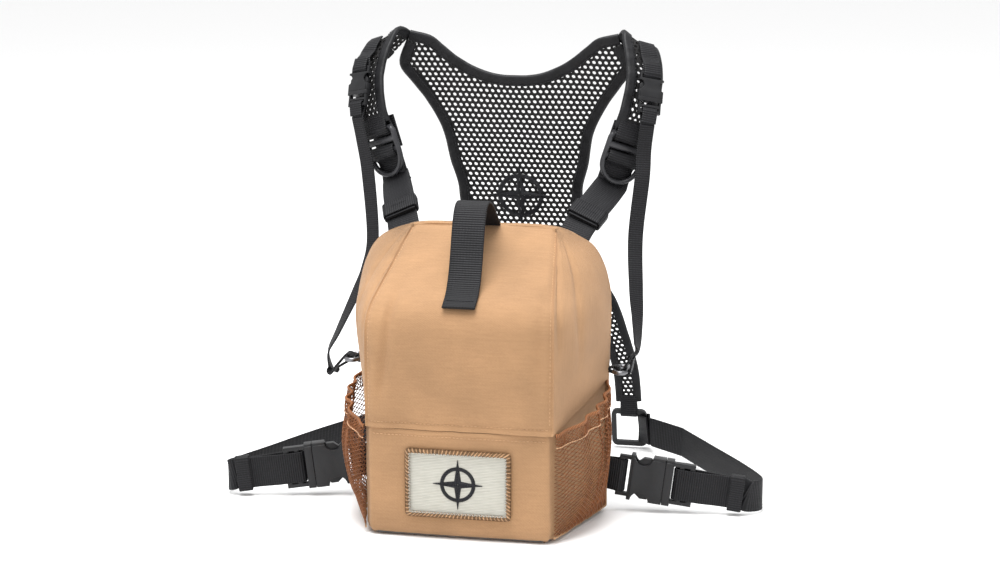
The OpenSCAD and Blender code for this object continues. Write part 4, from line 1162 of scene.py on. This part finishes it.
# ---- waist: buckles, webbing, keepers, rings
WAIST_BAR = vec(103, 53, 29)
waist_frames = {-1: frame_at(WAIST_BAR, (57, -14, -7), (0, 0, 1)), 1: frame_at(WAIST_BAR, (57, 3, -7), (0, 0, 1))}
bend_y = 51.0
waist_routes = {-1: [(202.5, bend_y - 20, 16), (206, bend_y - 13, 14.5), (203, bend_y - 2, 14), (187, bend_y + 36, 14),
                     (163, bend_y + 90, 15), (134, bend_y + 140, 17)],
                1: [(204, bend_y + 9, 15), (212, bend_y + 19, 14), (209, bend_y + 33, 14), (192, bend_y + 64, 14),
                    (164, bend_y + 106, 15), (134, bend_y + 148, 17)]}
ring_side = yoke_point(98, 19.5)
bar_reach = hypot(4, 5) / 2 + 0.1
for name, s in SIDES.items():
    f = waist_frames[s]
    fx, fy = f[:3, 0], f[:3, 1]
    head = [placed(f, p) for p in ((0, 1.4, 96), (0, 1.4, 81), (0, 3.6, 66), (0, 4.0, 59))]
    fold = [placed(f, (0, q[0], 47.5 - q[1])) for q in arc(4.0, 0, 180, 16)]
    tail = [placed(f, p) for p in ((0, -4.0, 59), (0, -3.4, 66), (0, -1.4, 81), (0, -1.4, 97.5))]
    near = np.concatenate([smooth(head, 5), fold, smooth(tail, 5)])
    far = smooth([near[-1]] + [vec(*p) for p in waist_routes[s]], 12)[1:]
    loop = hook(ring_side, (22, -48, 0), (1, 0.4, 0), 4.4, 14)
    bridge = smooth([far[-1], (far[-1] + loop[0]) / 2, loop[0]], 4)[1:-1]
    path = np.concatenate([near, far, bridge, loop])
    turns = [fx] * len(near)
    for i in range(len(far)):
        turns.append(fx * fall(0, 20, i) + vec(0, 0, 1) * ease(0, 20, i))
    turns += [vec(0, 0, 1)] * len(bridge) + [YOKE_UP] * len(loop)
    webbing = ribbon("waist_webbing_run_" + name, path, turns, 24.6, 1.6, WEBBING, s, ruck=0.15, pitch=30)
    ring_at, plug_at = mirror(ring_side, s) * MM, mirror(near[-1], s) * MM
    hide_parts("waist_webbing_" + name)
    tuple(ring_at)
    tuple(plug_at)
    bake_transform(webbing)
    keeper("waist_keeper_band_" + name, "waist_keeper_" + name, "keeper_" + name, f, 92, 11, 5.6, s)
    for node in ("waist_socket_", "waist_plug_"):
        rounded(node + name, 1.0, PLASTIC, 3)
    for node in ("upper_prong_", "lower_prong_"):
        rounded(node + name, 0.7, PLASTIC, 3)
    rounded("leg_ring_" + name, 0.9, PLASTIC, 3)
    bar = placed(f, (0, 0, 2))
    away = cross_part((-1, 0, 0), fx)
    reach = bar[0] - 94 + 1.5
    loop = hook(bar, away, np.cross(fx, away), bar_reach + 0.85, reach)
    tab = ribbon("pack_tab_loop_" + name, loop, fx, WEB_W, WEB_T, WEBBING, s)
    finish_piece(tab, "pack", "webbing", "pack_tab_" + name)

# ---- tethers
SCALE = 0.55


def on_shoulder(i, side, out):
    """A place on the shoulder strap's coarse rings; negative out is in front of it."""
    h = unit(shoulder_coarse[i + 1] - shoulder_coarse[i - 1])
    w = cross_part(shoulder_coarse_dirs[i], h)
    return shoulder_coarse[i] + w * side + np.cross(w, h) * out


tether_down = unit((0, -0.4, -0.92))
tether_frame = frame_at(on_shoulder(14, 3, -7), tether_down, (0.86, 0.5, 0))
tether_out = vec(0.5, -0.86, 0)
TX = tether_frame[:3, 0]
tether_top = placed(tether_frame, (0, 0, SCALE * 57))
tether_start = tether_top + tether_down * 10
tether_r = SCALE * (hypot(4, 6) / 2 + 0.1) + 0.8
CLIP = vec(101, 51, 112)
outer_bar = CLIP + vec(9, 0, 0)
tether_routes = {-1: [tether_start + vec(-4, 2, -20), (107, 102, 250), (102, 96, 200), (105, 88, 176), (111, 80, 159),
                      (124, 70, 128), (130, 63, 112), (125, 56, 99)],
                 1: [tether_start + vec(-3, 2, -20), (112, 102, 252), (108, 98, 207), (111, 84, 168), (114, 72, 148),
                     (116, 58, 128)]}
tether_turns = {-1: [(0.9, 0.4, 0), (0.95, 0.3, 0), (0.9, 0.4, 0), (0.85, 0.5, 0), (0.75, 0.65, 0), (0.5, 0.85, 0),
                     (0.25, 0.95, 0), (0.1, 1, 0)],
                1: [(0.9, 0.4, 0), (0.95, 0.3, 0), (0.9, 0.4, 0), (0.8, 0.6, 0), (0.5, 0.85, 0), (0.15, 1, 0)]}
for name, s in SIDES.items():
    route = [vec(*p) for p in tether_routes[s]]
    upper = hook(tether_top, tether_down, -tether_out, tether_r, 10)[::-1]
    lower = hook(outer_bar, cross_part(route[-1] - outer_bar, vec(0, 1, 0)), (0, 0, 1), 1.7 + 0.8 + 0.3, 12)
    middle = smooth([upper[-1]] + route + [lower[0]], 12)
    path = np.concatenate([upper, middle[1:-1], lower])
    turns = smooth([TX] + [vec(*p) for p in tether_turns[s]] + [vec(0, 1, 0)], 12)
    dirs = np.concatenate([[TX] * len(upper), turns[1:-1], [vec(0, 1, 0)] * len(lower)])
    tether = ribbon("tether_webbing_run_" + name, path, dirs, 12.0, 1.5, WEBBING, s)
    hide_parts("tether_webbing_" + name)
    tuple(mirror(outer_bar, s) * MM)
    tuple(mirror(tether_start, s) * MM)
    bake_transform(tether)
    stub_loop = hook(placed(tether_frame, (0, 0, SCALE * 2)), -tether_down, -tether_out, SCALE * bar_reach + 0.8, 9)
    stub_rings = range(7, 12)
    stub = [on_shoulder(i, 4, -3.3) for i in stub_rings]
    start = smooth(stub + [stub_loop[0]], 6)[:-1]
    stub_dirs = np.concatenate([smooth([shoulder_coarse_dirs[i] for i in stub_rings] + [TX], 6)[:-1],
                                [TX] * len(stub_loop)])
    stub_piece = ribbon("tether_stub_run_" + name, np.concatenate([start, stub_loop]), stub_dirs,
                        14.0, 1.6, WEBBING, s)
    finish_piece(stub_piece, "pack", "webbing", "tether_stub_" + name)
    for node in ("tether_socket_", "tether_plug_", "tether_inner_prong_", "tether_outer_prong_"):
        rounded(node + name, 0.55, PLASTIC, 3)
    side_metal = frame["nodes"]["side_ring_" + name]
    side_metal.data.materials.clear()
    side_metal.data.materials.append(METAL)
    loop = hook(CLIP, (-1, 0, 0), (0, 0, 1), 1.7 + 0.3 + 0.8, CLIP[0] - 95.2)
    tab = ribbon("ring_tab_loop_" + name, loop, vec(0, 1, 0), 7.0, 1.6, WEBBING, s)
    finish_piece(tab, "pack", "webbing", "ring_tab_" + name)

# ---- back panel and liner
half_outline = smooth([(0, PACK_H), (TOP_W / 2 - 6, PACK_H - 0.6), (72, 214), (86, 203), (95, 178), (96, 150),
                       (95, 100), (94, 40), (93, 12), (86, 1.6), (60, 0.5), (0, 0.5)], 8)
panel_line = np.concatenate([half_outline, [(-x, z) for x, z in half_outline[::-1][1:-1]]])
panel_mid = vec(0, 108)


def panel_at(k, q, side):
    """Rings from the middle (q = 0) to the rim (q = 1), on the front (-1) or rear (1) face."""
    p = panel_mid + (panel_line[k] - panel_mid) * q
    channel = 0.0
    for row in (60, 112, 164):
        channel += hill(p[1] - row, 3.0) * fall(0.80, 0.95, q)
    rim = max(0.0, 1 - q ** 10) ** 0.5
    if side > 0:
        y = REAR_Y + 4 + rim * (4 + 2.4 * (1 - q ** 3)) - 2.0 * channel + 0.5 * wobble((p[0], 0, p[1]), 34) * (1 - q)
    else:
        y = REAR_Y + 4 - rim * 3.6
    return vec(p[0], y, p[1])


rings, count = 26, len(panel_line)
verts, faces = [], []
for side in (-1, 1):
    base = len(verts)
    verts += [panel_at(k, (j + 1) / rings, side) for j in range(rings) for k in range(count)]
    verts.append(panel_at(0, 0, side))
    faces += tube(rings, count, base, caps=False)
    faces += [(base + k, base + (k + 1) % count, base + rings * count) for k in range(count)]
panel = make("back_panel_pad", verts, faces, PAD, [(v[0], v[2]) for v in verts])
tidy_mesh(panel.data, 2e-5)
rim_line = np.array([vec(p[0] * 0.992, REAR_Y + 4, panel_mid[1] + (p[1] - panel_mid[1]) * 0.988) for p in panel_line])
rim_line = spaced(np.concatenate([rim_line, rim_line[:1]]), 3.0)
piping = ribbon("back_panel_binding", rim_line, vec(0, 1, 0), 8.6, 2.6, CANVAS_SPACE, ruck=0.2, pitch=7)
panel = join("back_panel_pad", [panel, piping])
finish_piece(panel, "pack", "canvas", "back_panel")

liner_plan = smooth([(-88, 42), (-66, -36), (-58, -42), (0, -43), (58, -42), (66, -36), (88, 42)], 14)


def liner_wall(inset, lean):
    """The padded bucket's wall, inset from the canvas, with sewn channels across it."""
    def f(u, v):
        i = u * (len(liner_plan) - 1)
        k = min(len(liner_plan) - 2, int(i))
        p = liner_plan[k] + (liner_plan[k + 1] - liner_plan[k]) * (i - k)
        top = lid_edge(p[1]) + 22.0
        z = 5.0 + v * (top - 5.0)
        pull = inset + 1.2 * sin(pi * v * 5) ** 2 * lean + 1.5 * fall(0, 0.06, v)
        size = 1 - pull / 80
        return vec(p[0] * size, p[1] * size, z)
    return f


liner_side = liner_wall(3.4, 0.5)
liner = thicken(grid("liner_wall", liner_side, 110, 40, LINING, (260, 100)), 2.6)
rear = thicken(grid("liner_rear",
                    lambda u, v: vec((u * 2 - 1) * 84, 41.4 - 0.6 * sin(pi * v * 5) ** 2, 5 + v * 119),
                    50, 40, LINING, (168, 119)), 2.4)
verts = [liner_side(k / 60, 0.0) for k in range(61)] + [vec(0, 4, 5.6)]
liner_floor = thicken(make("liner_floor", verts, [(k, (k + 1) % 61, 61) for k in range(61)], LINING,
                           [(v[0], v[1]) for v in verts]), 1.6)
rim_path = [liner_side(k / 100, 1.0) for k in range(101)]
rim_path += [vec(x, 41.4, 124) for x in np.linspace(rim_path[-1][0], rim_path[0][0], 40)[1:-1]]
rim_bind = ribbon("liner_rim", spaced(rim_path, 2.5), vec(0, 0, 1), 7.0, 3.9, BINDING, ruck=0.3, pitch=9)
liner = join("liner_bucket", [liner, rear, liner_floor, rim_bind])
finish_piece(liner, "pack", "lining", "inner_liner")

# ---- pieces that keep their CAD shape
for node, material in (("base_board", BOARD), ("back_magnets", MAGNET), ("lid_magnets", MAGNET)):
    mesh = frame["nodes"][node].data
    mesh.materials.clear()
    mesh.materials.append(material)

# ---- floor, light, end
floor_mat = bpy.data.materials.new("studio_floor")
floor_mat.use_nodes = True
floor_mat.node_tree.nodes["Principled BSDF"].inputs["Base Color"].default_value = (0.93, 0.93, 0.93, 1)
floor_mat.node_tree.nodes["Principled BSDF"].inputs["Roughness"].default_value = 0.9
bpy.ops.mesh.primitive_plane_add(size=14, location=(0, 0, 0))
floor = bpy.context.object
floor.name = "studio_floor"
floor.data.materials.append(floor_mat)
world = bpy.data.worlds.new("studio")
scene.world = world
world.use_nodes = True
world.node_tree.nodes["Background"].inputs[0].default_value = (1, 1, 1, 1)
world.node_tree.nodes["Background"].inputs[1].default_value = 1.0
scene.view_settings.view_transform = "Standard"


def area_light(name, place, target, size, power):
    light = bpy.data.lights.new(name, "AREA")
    light.size = size
    light.energy = power
    obj = bpy.data.objects.new(name, light)
    obj.location = place
    obj.rotation_euler = (Vector(target) - Vector(place)).to_track_quat("-Z", "Y").to_euler()
    scene.collection.objects.link(obj)


area_light("key", (-0.9, -1.4, 1.7), (0, 0, 0.15), 1.0, 3.6)
area_light("top", (-0.1, -0.15, 2.0), (0, 0, 0.15), 1.2, 60)
